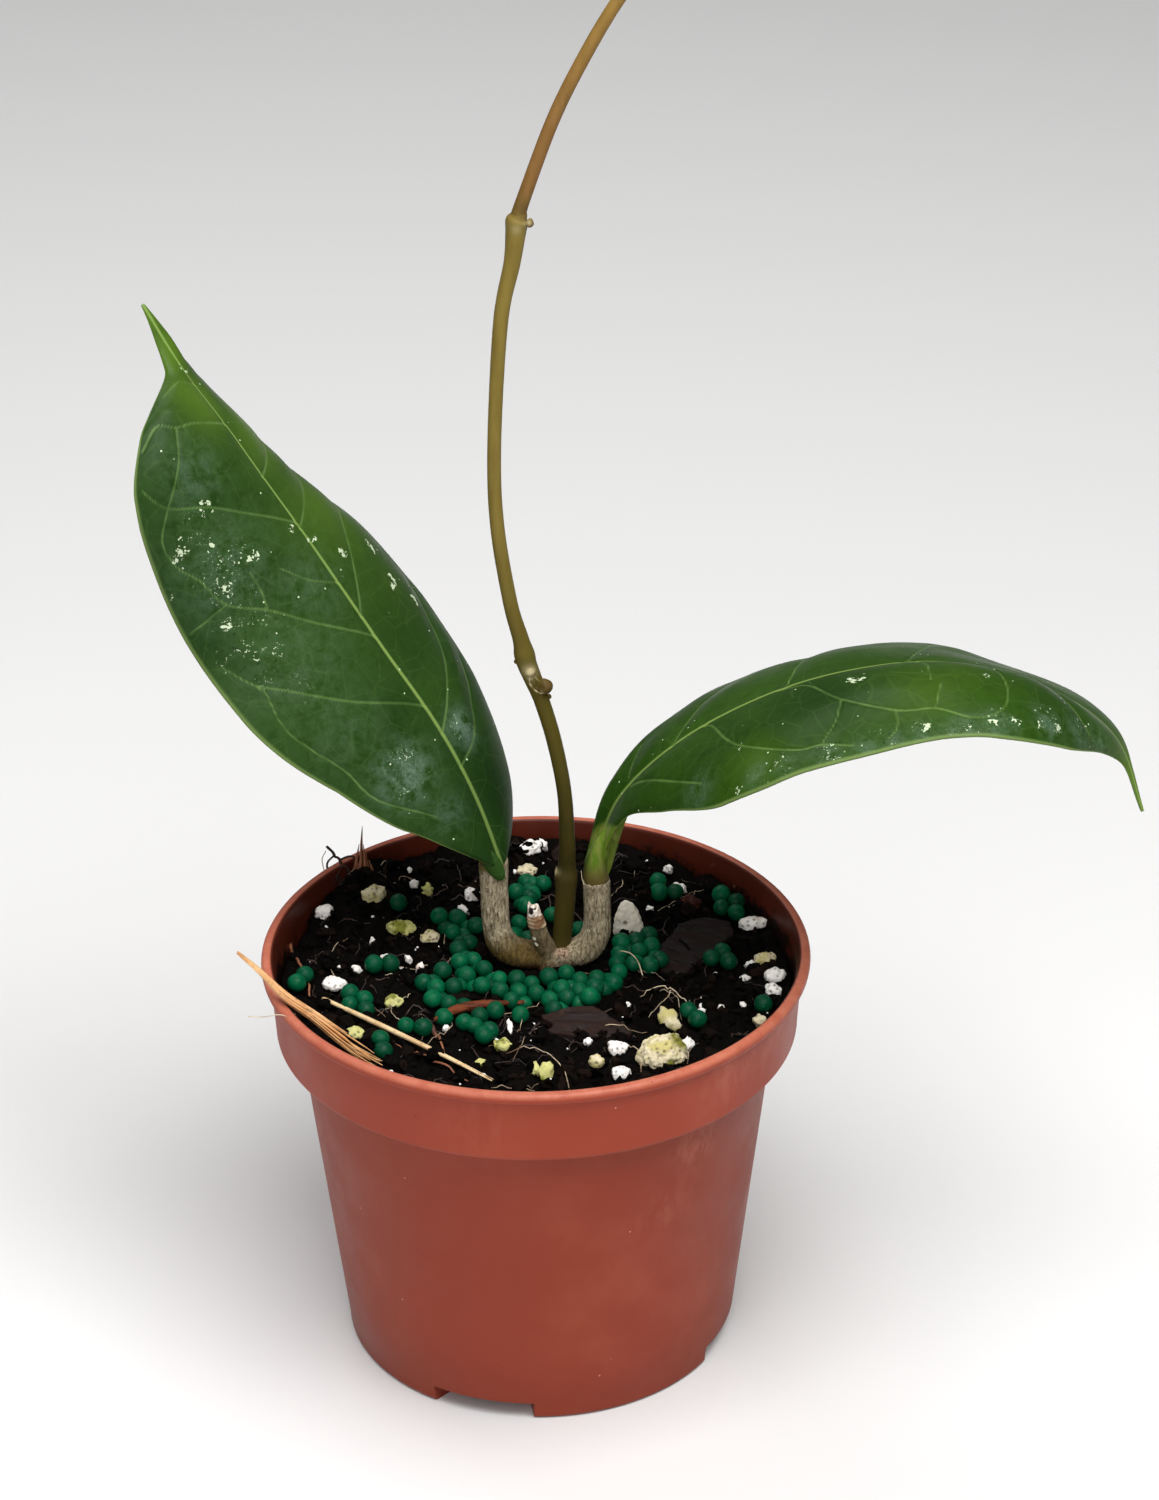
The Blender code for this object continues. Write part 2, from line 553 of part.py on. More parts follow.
def cutting_parts(grow):
    low = [Vector(p) for p in BURIED]
    low[-1].z -= grow
    return petioles(grow) + [
        smooth_tube("stub", STUB, STUB_RADII, 5, 8, grow),
        smooth_tube("buried", low, [3.5, CUTTING_RADIUS, 3.3, 3.2], 3, 10, grow),
    ]


def make_cutting():
    parts = cutting_parts(0.0)
    body = parts[0]
    body.name = "old_cutting"
    boolean(body, parts[1:], "UNION")
    body.data.materials.clear()
    body.data.materials.append(material("corky_stem"))
    return body


# The new vine: one shoot with swollen nodes and small buds, grown from the cutting.
def vine_body(name, grow, rings=78):
    points = [p for p, r in VINE]
    radii = [r for p, r in VINE]
    return smooth_tube(name, points, radii, rings, 8, grow)


def bud(place, radius, length, lean, grow=0.0):
    bm = bmesh.new()
    bmesh.ops.create_icosphere(bm, subdivisions=1, radius=1.0)
    for vert in bm.verts:
        taper = 1.0 - 0.35 * max(0.0, vert.co.z)
        vert.co = Vector((vert.co.x * (radius * taper + grow), vert.co.y * (radius * taper + grow),
                          vert.co.z * (length / 2 + grow)))
        vert.co.rotate(lean)
        vert.co += Vector(place)
    return from_bmesh("bud", bm, None, True)


def make_vine(clear_of):
    vine = vine_body("new_vine", 0.0)
    buds = []
    for place, radius, length in NODE_BUDS:
        spot = Vector(place)
        near = min(range(len(VINE)), key=lambda i: (Vector(VINE[i][0]) - spot).length)
        ahead = Vector(VINE[min(near + 1, len(VINE) - 1)][0]) - Vector(VINE[max(near - 1, 0)][0])
        buds.append(bud(place, radius, length, ahead.to_track_quat("Z", "Y")))
    boolean(vine, buds, "UNION")
    boolean(vine, clear_of, "DIFFERENCE")
    vine.data.materials.clear()
    vine.data.materials.append(material("vine"))
    return vine


# The leaves: thick waxy blades folded along a midrib, with a drip tip.
def blade_frame(midrib, roll, share):
    here = curve_through(midrib, share)
    ahead = curve_through(midrib, min(share + 0.004, 1.0)) - curve_through(midrib, max(share - 0.004, 0.0))
    ahead.normalize()
    side = ahead.cross(FACING).normalized()
    face = side.cross(ahead)
    angle = math.radians(value_at(roll[0], roll[1], share))
    across = math.cos(angle) * side + math.sin(angle) * face
    up = math.cos(angle) * face - math.sin(angle) * side
    return here, across, up


def blade_point(leaf, share, place):
    """A point on the upper side; place runs from -1 at one edge to +1 at the other."""
    midrib, stations, widths, roll, curl_plus, curl_minus = leaf
    here, across, up = blade_frame(midrib, roll, share)
    width = value_at(stations, widths, share)
    curl = curl_plus if place >= 0 else curl_minus
    start = math.radians(FOLD_AT_MIDRIB)
    bend = math.radians(value_at(curl[0], curl[1], share)) - start
    if abs(bend) < 0.001:
        bend = 0.001
    t = abs(place)
    out = width * (math.sin(start + bend * t) - math.sin(start)) / bend
    rise = width * (math.cos(start) - math.cos(start + bend * t)) / bend
    return here + math.copysign(1.0, place) * out * across + rise * up


def make_leaf(name, leaf, keel_foot, keel_radii, clear_of):
    columns = range(-LEAF_COLUMNS, LEAF_COLUMNS + 1)
    top = []
    for i in range(LEAF_STATIONS + 1):
        share = i / LEAF_STATIONS
        top.append([blade_point(leaf, share, k / LEAF_COLUMNS) for k in columns])
    count = len(top[0])
    below = []
    for i, row in enumerate(top):
        line = []
        half = value_at(leaf[1], leaf[2], i / LEAF_STATIONS)
        for k, p in enumerate(row):
            along = top[min(i + 1, LEAF_STATIONS)][k] - top[max(i - 1, 0)][k]
            across = row[min(k + 1, count - 1)] - row[max(k - 1, 0)]
            normal = across.cross(along).normalized()
            if normal.dot(blade_frame(leaf[0], leaf[3], i / LEAF_STATIONS)[2]) < 0:
                normal = -normal
            edge = abs(k - LEAF_COLUMNS) / LEAF_COLUMNS
            middle = LEAF_THICK_EDGE + (LEAF_THICK_MIDDLE - LEAF_THICK_EDGE) * min(1.0, half / 12.0)
            thick = middle + (LEAF_THICK_EDGE - middle) * edge
            line.append(p - normal * thick)
        below.append(line)
    bm = bmesh.new()
    upper = [[bm.verts.new(p) for p in row] for row in top]
    lower = [[bm.verts.new(p) for p in row] for row in below]
    for i in range(LEAF_STATIONS):
        for k in range(count - 1):
            for grid, flip in ((upper, False), (lower, True)):
                a, b, c, d = grid[i][k], grid[i][k + 1], grid[i + 1][k + 1], grid[i + 1][k]
                tris = ((a, b, c), (a, c, d)) if k < LEAF_COLUMNS else ((a, b, d), (b, c, d))
                for tri in tris:
                    bm.faces.new(tuple(reversed(tri)) if flip else tri)
    rim_up = outline_of(upper)
    rim_low = outline_of(lower)
    for k in range(len(rim_up)):
        n = (k + 1) % len(rim_up)
        bm.faces.new((rim_up[k], rim_low[k], rim_low[n]))
        bm.faces.new((rim_up[k], rim_low[n], rim_up[n]))
    blade = from_bmesh(name, bm, None, True)
    keel = [Vector(p) for p in keel_foot]
    shares = [0.03, 0.08, 0.15, 0.25, 0.37, 0.5, 0.63, 0.76, 0.86]
    for share, radius in zip(shares, keel_radii[len(keel_foot):]):
        here, across, up = blade_frame(leaf[0], leaf[3], share)
        keel.append(here - up * (0.55 + 0.62 * radius))
    rib = smooth_tube("keel", keel, keel_radii, 22, 6)
    boolean(blade, [rib], "UNION")
    boolean(blade, clear_of, "DIFFERENCE")
    blade.data.materials.clear()
    blade.data.materials.append(material("leaf_green"))
    return blade


LEFT_LEAF = (LEFT_MIDRIB, LEFT_STATIONS, LEFT_HALF_WIDTH, LEFT_ROLL, LEFT_CURL_PLUS, LEFT_CURL_MINUS)
RIGHT_LEAF = (RIGHT_MIDRIB, RIGHT_STATIONS, RIGHT_HALF_WIDTH, RIGHT_ROLL, RIGHT_CURL_PLUS, RIGHT_CURL_MINUS)
LEFT_KEEL_RADII = [2.7, 2.5, 2.1, 1.7, 1.5, 1.35, 1.2, 1.1, 1.0, 0.9, 0.8]
RIGHT_KEEL_RADII = [2.7, 2.7, 2.6, 2.4, 1.9, 1.5, 1.3, 1.15, 1.0, 0.9, 0.8]


# Feed pellets: round green grains, heaped round the stem and in small groups.
def pellet(x, y, lift):
    """One grain; lift 0 lies on the mix, 1 lies on the grains below it."""
    bm = bmesh.new()
    bmesh.ops.create_uvsphere(bm, u_segments=6, v_segments=4, radius=PELLET_RADIUS * 1.05)
    steep = max(mix_height(x + dx, y + dy) - mix_height(x, y)
                for dx, dy in ((1.0, 0.0), (-1.0, 0.0), (0.0, 1.0), (0.0, -1.0)))
    seat = mix_height(x, y) + SEAT_GAP + PELLET_RADIUS * (1.0 + 0.4 * steep)
    bmesh.ops.rotate(bm, verts=bm.verts, cent=(0, 0, 0), matrix=Matrix.Rotation(x + 2 * y, 3, "Z"))
    bmesh.ops.translate(bm, verts=bm.verts, vec=(x, y, seat + 1.25 * PELLET_RADIUS * lift))
    return from_bmesh("pellet", bm)


def near_lump(x, y, room):
    for name, place, size, turn, seed, kind in LUMPS:
        angle = math.radians(-turn)
        dx, dy = x - place[0], y - place[1]
        u = (dx * math.cos(angle) - dy * math.sin(angle)) / (size[0] / 2 * 1.1 + room)
        v = (dx * math.sin(angle) + dy * math.cos(angle)) / (size[1] / 2 * 1.1 + room)
        if u * u + v * v < 1.0:
            return True
    return False


def grow_group(count, first, seed, allowed, spacing=0.80):
    """Each grain touches one that lies there already."""
    draw = random.Random(seed)
    placed = [first]
    tries = 0
    while len(placed) < count and tries < 20000:
        tries += 1
        base = placed[draw.randrange(len(placed))]
        angle = draw.uniform(0, 2 * math.pi)
        reach = 2 * PELLET_RADIUS * spacing
        x, y = base[0] + reach * math.cos(angle), base[1] + reach * math.sin(angle)
        if not allowed(x, y):
            continue
        if any(math.hypot(x - px, y - py) < reach * 0.94 for px, py in placed):
            continue
        placed.append((x, y))
    return placed


def near_straw(x, y, room):
    for name, points, radius, kind in STRAWS:
        for a, b in zip(points[:-1], points[1:]):
            run = (b[0] - a[0], b[1] - a[1])
            t = ((x - a[0]) * run[0] + (y - a[1]) * run[1]) / (run[0] ** 2 + run[1] ** 2)
            t = min(max(t, 0.0), 1.0)
            if math.hypot(x - a[0] - t * run[0], y - a[1] - t * run[1]) < radius + room:
                return True
    return False


def clear_of_grains(x, y):
    return not near_lump(x, y, PELLET_RADIUS + 0.4) and not near_straw(x, y, PELLET_RADIUS + 0.4)


def near_stem(x, y):
    left, right, radius = STEM_FOOT
    away = math.hypot(x - min(max(x, left[0]), right[0]), y - left[1])
    stub = math.hypot(x - STUB_FOOT[0], y - STUB_FOOT[1])
    return away < radius + PELLET_RADIUS + SEAT_GAP or stub < STUB_RADIUS + PELLET_RADIUS + 0.6


def heap_allowed(x, y):
    inside = any(((x - c[0]) / r[0]) ** 2 + ((y - c[1]) / r[1]) ** 2 < 1.0 for c, r in HEAP_FIELDS)
    return inside and not near_stem(x, y) and clear_of_grains(x, y)


def group_allowed(centre, reach):
    def allowed(x, y):
        inside = math.hypot(x, y) < MIX_RIM_RADIUS - PELLET_RADIUS - 0.4
        close = math.hypot(x - centre[0], y - centre[1]) < reach
        return inside and close and not near_stem(x, y) and clear_of_grains(x, y)
    return allowed


def on_top(placed, target):
    """The seat between the two grains nearest to the target."""
    a, b = sorted(placed, key=lambda p: math.hypot(p[0] - target[0], p[1] - target[1]))[:2]
    return ((a[0] + b[0]) / 2, (a[1] + b[1]) / 2)


def make_pellets(name, places):
    parts = [pellet(x, y, lift) for x, y, lift in places]
    body = parts[0]
    body.name = name
    if len(parts) > 1:
        boolean(body, parts[1:], "UNION")
    body.data.materials.clear()
    body.data.materials.append(material("pellet"))
    for face in body.data.polygons:
        face.use_smooth = True
    return body


# Perlite and bark: loose grains on the mix.
def make_lump(name, place, size, turn, seed, kind, cutters):
    rough = 0.16 if kind.startswith("perlite") else 0.22
    grain = lump(name, place, size, turn, seed, 0.0, rough)
    boolean(grain, cutters, "DIFFERENCE", keep=True)
    grain.data.materials.clear()
    grain.data.materials.append(material(kind))
    for face in grain.data.polygons:
        face.use_smooth = False
    return grain


def main():
    clear_scene()
    make_pot()
    holes = cutting_parts(SEAT_GAP)
    make_mix(holes)
    make_cutting()
    make_vine(cutting_parts(SEAT_GAP))
    make_leaf("leaf_left", LEFT_LEAF, LEFT_KEEL_FOOT, LEFT_KEEL_RADII, petioles(SEAT_GAP))
    make_leaf("leaf_right", RIGHT_LEAF, RIGHT_KEEL_FOOT, RIGHT_KEEL_RADII, petioles(SEAT_GAP))

    under = mix_cutter(SEAT_GAP)
    heap = grow_group(HEAP_PELLETS, (-6.0, -3.0), 7, heap_allowed)
    tops = [on_top(heap, target) for target in HEAP_TOP]
    make_pellets("pellet_heap", [(x, y, 0.0) for x, y in heap] + [(x, y, 1.0) for x, y in tops])
    for name, centre, count, seed in PELLET_GROUPS:
        places = grow_group(count, centre, seed, group_allowed(centre, 4.5 if count < 6 else 8.0))
        make_pellets(name, [(x, y, 0.0) for x, y in places])
    for name, place, size, turn, seed, kind in LUMPS:
        make_lump(name, place, size, turn, seed, kind, [under])
    for name, points, radius, kind in STRAWS:
        count = len(points)
        radii = [radius * (0.75 if k in (0, count - 1) else 1.0) for k in range(count)]
        straw = smooth_tube(name, points, radii, 3 * count, 6)
        straw.data.materials.clear()
        straw.data.materials.append(material(kind))
    bpy.data.objects.remove(under, do_unlink=True)


main()
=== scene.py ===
import json
import math
import random

import bmesh
import bpy
import numpy as np
from mathutils import Matrix, Vector, noise


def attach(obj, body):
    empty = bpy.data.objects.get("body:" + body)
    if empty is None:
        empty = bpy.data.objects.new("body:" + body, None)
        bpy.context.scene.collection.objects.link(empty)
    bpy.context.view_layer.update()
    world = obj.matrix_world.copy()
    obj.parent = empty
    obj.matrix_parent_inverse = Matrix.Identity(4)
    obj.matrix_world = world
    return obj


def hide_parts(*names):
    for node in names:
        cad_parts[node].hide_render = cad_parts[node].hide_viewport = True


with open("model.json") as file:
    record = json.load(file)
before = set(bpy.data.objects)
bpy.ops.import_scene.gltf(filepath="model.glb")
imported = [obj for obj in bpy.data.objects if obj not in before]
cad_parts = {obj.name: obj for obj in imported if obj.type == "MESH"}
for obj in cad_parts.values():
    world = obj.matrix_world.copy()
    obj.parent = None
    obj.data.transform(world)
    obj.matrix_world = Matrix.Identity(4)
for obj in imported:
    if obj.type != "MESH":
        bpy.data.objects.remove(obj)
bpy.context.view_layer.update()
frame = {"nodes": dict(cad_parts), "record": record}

# Camera, floor and light: a pale table top in soft studio light from above and from the right.
# The camera stands in front of the pot, looks down on it, and is rolled by half a degree.
CAMERA_PLACE = Vector((0.009867, -0.826654, 0.587435))
CAMERA_PITCH = math.radians(28.24)
CAMERA_ROLL = -0.0085
CAMERA_LENS = 105.6

forward = Vector((0.0, math.cos(CAMERA_PITCH), -math.sin(CAMERA_PITCH)))
level_right = Vector((1.0, 0.0, 0.0))
level_up = Vector((0.0, math.sin(CAMERA_PITCH), math.cos(CAMERA_PITCH)))
right = math.cos(CAMERA_ROLL) * level_right + math.sin(CAMERA_ROLL) * level_up
up = math.cos(CAMERA_ROLL) * level_up - math.sin(CAMERA_ROLL) * level_right
camera = bpy.data.objects.new("camera", bpy.data.cameras.new("camera"))
camera.data.lens = CAMERA_LENS
camera.data.sensor_width = 36.0
camera.data.sensor_fit = "AUTO"
turned = Matrix((right, up, -forward)).transposed().to_4x4()
camera.matrix_world = Matrix.Translation(CAMERA_PLACE) @ turned
bpy.context.scene.collection.objects.link(camera)
bpy.context.scene.camera = camera
bpy.context.scene.view_settings.view_transform = "Standard"

floor_shape = bmesh.new()
bmesh.ops.create_grid(floor_shape, x_segments=1, y_segments=1, size=12.0)
bmesh.ops.translate(floor_shape, verts=floor_shape.verts, vec=(0.0, 0.0, -0.0001))
floor_mesh = bpy.data.meshes.new("floor")
floor_shape.to_mesh(floor_mesh)
floor_shape.free()
floor = bpy.data.objects.new("floor", floor_mesh)
bpy.context.scene.collection.objects.link(floor)
floor_finish = bpy.data.materials.new("pale_floor")
floor_finish.use_nodes = True
floor_shader = floor_finish.node_tree.nodes["Principled BSDF"]
floor_shader.inputs["Base Color"].default_value = (0.72, 0.715, 0.71, 1.0)
floor_shader.inputs["Roughness"].default_value = 0.6
floor_mesh.materials.append(floor_finish)


def soft_light(name, place, aim, size, power):
    lamp = bpy.data.lights.new(name, "AREA")
    lamp.shape = "SQUARE"
    lamp.size = size
    lamp.energy = power
    holder = bpy.data.objects.new(name, lamp)
    holder.location = place
    holder.rotation_euler = (Vector(aim) - Vector(place)).to_track_quat("-Z", "Y").to_euler()
    bpy.context.scene.collection.objects.link(holder)


soft_light("key", (0.22, -0.40, 1.25), (0.0, 0.0, 0.10), 0.95, 23.5)
soft_light("front_fill", (-0.35, -1.25, 0.75), (0.0, 0.0, 0.12), 1.10, 7.5)
soft_light("high_back", (-0.40, 0.70, 1.20), (0.0, 0.0, 0.15), 0.80, 5.5)
world = bpy.data.worlds.new("studio")
world.use_nodes = True
world.node_tree.nodes["Background"].inputs["Color"].default_value = (0.80, 0.80, 0.81, 1.0)
world.node_tree.nodes["Background"].inputs["Strength"].default_value = 0.15
bpy.context.scene.world = world


# Pot: a thin round nursery pot of terracotta-coloured plastic, injection moulded in one piece.
# It has a collar with a rolled lip, and four raised recesses round its foot with a drain hole in each.
MM = 0.001
POT_HEIGHT = 94.5
LIP_RADIUS = 60.0
COLLAR_RADIUS = 58.2
COLLAR_FOOT_RADIUS = 57.3
LEDGE_HEIGHT = 77.0
BODY_TOP_RADIUS = 52.2
FOOT_RADIUS = 43.5
FLOOR_HEIGHT = 1.2
POT_STEPS = 192
RECESSES = 4
RECESS_TURN = -17.0
RECESS_HEIGHT = 4.2
RECESS_WIDTH = 25.0
RECESS_NECK = 10.0
RECESS_REACH = 29.5
RECESS_CORNER = 1.4
DRAIN_HOLE_RADIUS = 3.5
DRAIN_HOLE_DEPTH = 8.0
DRAIN_HOLE_INSET = 6.4
WALL_SWAY = 0.00012
WALL_SWAY_SCALE = 22.0
SHARP_ANGLE = math.radians(38)
# rubbed and dusty places on the outside, and painted sheen along the left edge, as (place, reach in
# millimetres, strength)
SCUFFS_AND_SHEEN = [((34.5, -38.5, 68.0), 6.0, 1.0), ((41.0, -41.0, 88.0), 8.0, 0.6), ((52.0, -27.0, 93.0), 9.0, 0.9),
          ((28.0, -41.0, 52.0), 7.0, 0.5), ((-47.0, -17.0, 60.0), 10.0, 0.5),
          ((-46.0, -12.0, 30.0), 12.0, 0.4), ((-12.0, -57.0, 85.0), 8.0, 0.35),
          ((57.0, 14.0, 93.0), 9.0, 0.6)]


class Finish:
    """A surface finish: one shader, and the nodes that feed it."""

    def __init__(self, name, roughness, **sockets):
        self.material = bpy.data.materials.new(name)
        self.material.use_nodes = True
        self.tree = self.material.node_tree
        self.shader = self.tree.nodes["Principled BSDF"]
        self.shader.inputs["Roughness"].default_value = roughness
        for socket, value in sockets.items():
            self.shader.inputs[socket.replace("_", " ")].default_value = value
        self.place = self.node("ShaderNodeTexCoord").outputs["Object"]

    def node(self, kind, inputs=(), **settings):
        made = self.tree.nodes.new(kind)
        for setting, value in settings.items():
            setattr(made, setting, value)
        for socket, value in inputs:
            if isinstance(value, bpy.types.NodeSocket):
                self.tree.links.new(value, made.inputs[socket])
            else:
                made.inputs[socket].default_value = value
        return made

    def feed(self, socket, value):
        self.tree.links.new(value, self.shader.inputs[socket])

    def stretched(self, sizes):
        inputs = (("Vector", self.place), ("Scale", sizes))
        return self.node("ShaderNodeMapping", inputs).outputs["Vector"]

    def grain(self, scale, detail=3.0, roughness=0.5, stretch=None, distortion=0.0):
        """Noise from 0 to 1, with so many features to the metre."""
        place = self.stretched(stretch) if stretch else self.place
        inputs = (("Vector", place), ("Scale", scale), ("Detail", detail), ("Roughness", roughness),
                  ("Distortion", distortion))
        return self.node("ShaderNodeTexNoise", inputs).outputs["Fac"]

    def cells(self, scale, feature="F1"):
        inputs = (("Vector", self.place), ("Scale", scale))
        return self.node("ShaderNodeTexVoronoi", inputs, feature=feature).outputs["Distance"]

    def painted(self, name):
        """A value that the piece's mesh carries at each point."""
        return self.node("ShaderNodeAttribute", attribute_name=name).outputs["Fac"]

    def axis(self, letter):
        inputs = (("Vector", self.place),)
        return self.node("ShaderNodeSeparateXYZ", inputs).outputs[letter]

    def fade(self, value, low, high, at_low=0.0, at_high=1.0):
        """Carry value smoothly from at_low to at_high between low and high."""
        inputs = (("Value", value), ("From Min", low), ("From Max", high), ("To Min", at_low),
                  ("To Max", at_high))
        return self.node("ShaderNodeMapRange", inputs, interpolation_type="SMOOTHSTEP").outputs["Result"]

    def maths(self, operation, first, second):
        return self.node("ShaderNodeMath", ((0, first), (1, second)), operation=operation).outputs["Value"]

    def times(self, first, second):
        return self.maths("MULTIPLY", first, second)

    def blend(self, share, first, second):
        """First colour where share is 0, second colour where it is 1."""
        inputs = ((0, share), (6, first), (7, second))
        return self.node("ShaderNodeMix", inputs, data_type="RGBA").outputs[2]

    def relief(self, height, depth):
        """Bump of so many millimetres between height 0 and 1."""
        inputs = (("Height", height), ("Distance", depth * MM), ("Strength", 1.0))
        self.feed("Normal", self.node("ShaderNodeBump", inputs).outputs["Normal"])


def colour(red, green, blue):
    """A colour as seen on a screen, 0 to 255, in the shader's linear terms."""
    def linear(value):
        share = value / 255.0
        return share / 12.92 if share <= 0.04045 else ((share + 0.055) / 1.055) ** 2.4
    return (linear(red), linear(green), linear(blue), 1.0)


def clamped(value):
    return min(1.0, max(0.0, value))


def nearness(place, spot, reach):
    """1 at the spot, and fading to 0 within about twice the reach."""
    return math.exp(-(place - Vector(spot)).length_squared / reach ** 2)


def new_object(name, mesh):
    obj = bpy.data.objects.new(name, mesh)
    bpy.context.scene.collection.objects.link(obj)
    return obj


def shaped(name, bm):
    """An object in metres from a shape in millimetres."""
    bmesh.ops.scale(bm, vec=(MM, MM, MM), verts=bm.verts)
    bmesh.ops.recalc_face_normals(bm, faces=bm.faces)
    mesh = bpy.data.meshes.new(name)
    bm.to_mesh(mesh)
    bm.free()
    mesh.shade_smooth()
    return new_object(name, mesh)


def settled(obj):
    """Apply the object's modifiers."""
    depsgraph = bpy.context.evaluated_depsgraph_get()
    depsgraph.update()
    mesh = bpy.data.meshes.new_from_object(obj.evaluated_get(depsgraph))
    obj.modifiers.clear()
    obj.data = mesh


def combined(obj, others, operation):
    """Join other solids to the object, or cut them out of it."""
    group = bpy.data.collections.new("parts")
    for other in others:
        group.objects.link(other)
    step = obj.modifiers.new("combine", "BOOLEAN")
    step.operation = operation
    step.solver = "MANIFOLD"
    step.operand_type = "COLLECTION"
    step.collection = group
    settled(obj)
    for other in others:
        bpy.data.objects.remove(other, do_unlink=True)
    bpy.data.collections.remove(group)


def placed(obj, slot, finish, *nodes):
    """Give a finished piece its material, and let it stand for its nodes."""
    obj.data.materials.clear()
    obj.data.materials.append(finish.material)
    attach(obj, "root")
    if nodes:
        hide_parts(*nodes)


def arc(centre_r, centre_z, radius, start, end, steps):
    """Points round a centre, from one angle to another in degrees."""
    angles = [math.radians(start + (end - start) * k / steps) for k in range(steps + 1)]
    return [(centre_r + radius * math.cos(a), centre_z + radius * math.sin(a)) for a in angles]


def turned_shape(profile, steps):
    """A closed round body from its profile, given from the bottom up."""
    bm = bmesh.new()
    verts = [bm.verts.new((r, 0.0, z)) for r, z in profile]
    edges = [bm.edges.new(pair) for pair in zip(verts[:-1], verts[1:])]
    bmesh.ops.spin(bm, geom=verts + edges, cent=(0, 0, 0), axis=(0, 0, 1), angle=2 * math.pi, steps=steps,
                   use_merge=True, use_duplicate=False)
    bmesh.ops.remove_doubles(bm, verts=bm.verts, dist=0.0005)
    return bm


def line_up(start, end, steps):
    """Points spread evenly from start to end, without the end."""
    return [(start[0] + (end[0] - start[0]) * k / steps, start[1] + (end[1] - start[1]) * k / steps)
            for k in range(steps)]


def recess_block(index, outer, bottom, top, spread):
    """A wedge that opens at the pot's foot and narrows toward its middle."""
    turn = math.radians(RECESS_TURN + index * 360.0 / RECESSES)
    half = RECESS_WIDTH / 2 + spread
    neck = RECESS_NECK / 2 + spread
    reach = RECESS_REACH - spread
    wide = math.asin(half / FOOT_RADIUS)
    outline = [(outer * math.sin(wide * k / 8), outer * math.cos(wide * k / 8)) for k in range(-8, 9)]
    corner = RECESS_CORNER
    outline += [(neck + corner, reach + 2.2), (neck, reach + 0.7), (neck - corner, reach),
                (corner - neck, reach), (-neck, reach + 0.7), (-neck - corner, reach + 2.2)]
    bm = bmesh.new()
    ring = []
    for side, away in outline:
        x = side * math.cos(turn) + away * math.sin(turn)
        y = side * math.sin(turn) - away * math.cos(turn)
        ring.append(bm.verts.new((x, y, bottom)))
    base = bm.faces.new(ring)
    grown = bmesh.ops.extrude_face_region(bm, geom=[base])["geom"]
    lifted = [item for item in grown if isinstance(item, bmesh.types.BMVert)]
    bmesh.ops.translate(bm, verts=lifted, vec=(0.0, 0.0, top - bottom))
    return shaped("recess", bm)


def drain_hole(index):
    """A round plug to cut one drain hole with."""
    turn = math.radians(RECESS_TURN + index * 360.0 / RECESSES)
    away = RECESS_REACH + DRAIN_HOLE_INSET
    bm = bmesh.new()
    bmesh.ops.create_cone(bm, cap_ends=True, segments=32, radius1=DRAIN_HOLE_RADIUS,
                          radius2=DRAIN_HOLE_RADIUS, depth=DRAIN_HOLE_DEPTH)
    bmesh.ops.translate(bm, verts=bm.verts,
                        vec=(away * math.sin(turn), -away * math.cos(turn), RECESS_HEIGHT + 0.5))
    return shaped("drain", bm)


def pot_profile():
    """The pot's section: up its outside from the middle of the foot, over the lip and down its inside."""
    foot, body, ledge = FOOT_RADIUS, BODY_TOP_RADIUS, LEDGE_HEIGHT
    low, collar, lip, top = COLLAR_FOOT_RADIUS, COLLAR_RADIUS, LIP_RADIUS, POT_HEIGHT
    outside = [(0.0, 0.0), (foot - 3.0, 0.0)]
    outside += arc(foot - 1.0, 1.0, 1.0, -90, 0, 5)
    outside += line_up((foot, 1.6), (body, ledge - 2.0), 24)
    outside += arc(body + 1.2, ledge - 1.9, 1.2, 180, 90, 4)
    outside += [(body + 2.4, ledge - 0.6)]
    outside += arc(low - 0.9, ledge + 0.4, 0.9, -90, 0, 4)
    outside += line_up((low + 0.02, ledge + 1.2), (collar, top - 3.6), 8)
    outside += arc(collar + 0.8, top - 3.4, 0.8, 180, 110, 3)
    outside += arc(lip - 1.1, top - 1.5, 1.1, -60, 0, 4)
    outside += arc(lip - 1.1, top - 1.1, 1.1, 0, 90, 5)
    inside = arc(lip - 1.7, top - 0.8, 0.8, 90, 180, 4)
    inside += [(collar - 1.25, top - 3.6), (collar - 1.3, top - 5.0)]
    inside += line_up((collar - 1.34, top - 6.0), (low - 1.1, ledge + 1.6), 4)
    inside += [(low - 1.3, ledge + 0.9), (body - 0.6, ledge + 0.2), (body - 1.0, ledge - 0.4)]
    inside += line_up((body - 1.05, ledge - 1.4), (foot - 1.1, 3.0), 12)
    inside += [(foot - 1.1, 3.0), (foot - 1.5, 1.8), (foot - 2.4, FLOOR_HEIGHT), (0.0, FLOOR_HEIGHT)]
    return outside + inside


pot_shape = turned_shape(pot_profile(), POT_STEPS)
pot = shaped("nursery_pot", pot_shape)
recess_roof = RECESS_HEIGHT + FLOOR_HEIGHT
combined(pot, [recess_block(i, FOOT_RADIUS - 0.45, 0.5, recess_roof, FLOOR_HEIGHT) for i in range(RECESSES)],
         "UNION")
combined(pot, [recess_block(i, FOOT_RADIUS + 6.0, -2.0, RECESS_HEIGHT, 0.0) for i in range(RECESSES)]
         + [drain_hole(i) for i in range(RECESSES)], "DIFFERENCE")
for vert in pot.data.vertices:
    away = math.hypot(vert.co.x, vert.co.y)
    if away > 0.03:
        sway = noise.noise(Vector((vert.co.x, vert.co.y, 0.4 * vert.co.z)) * WALL_SWAY_SCALE)
        vert.co.x *= 1.0 + WALL_SWAY * sway / away
        vert.co.y *= 1.0 + WALL_SWAY * sway / away
pot.data.shade_smooth()
pot.data.set_sharp_from_angle(angle=SHARP_ANGLE)
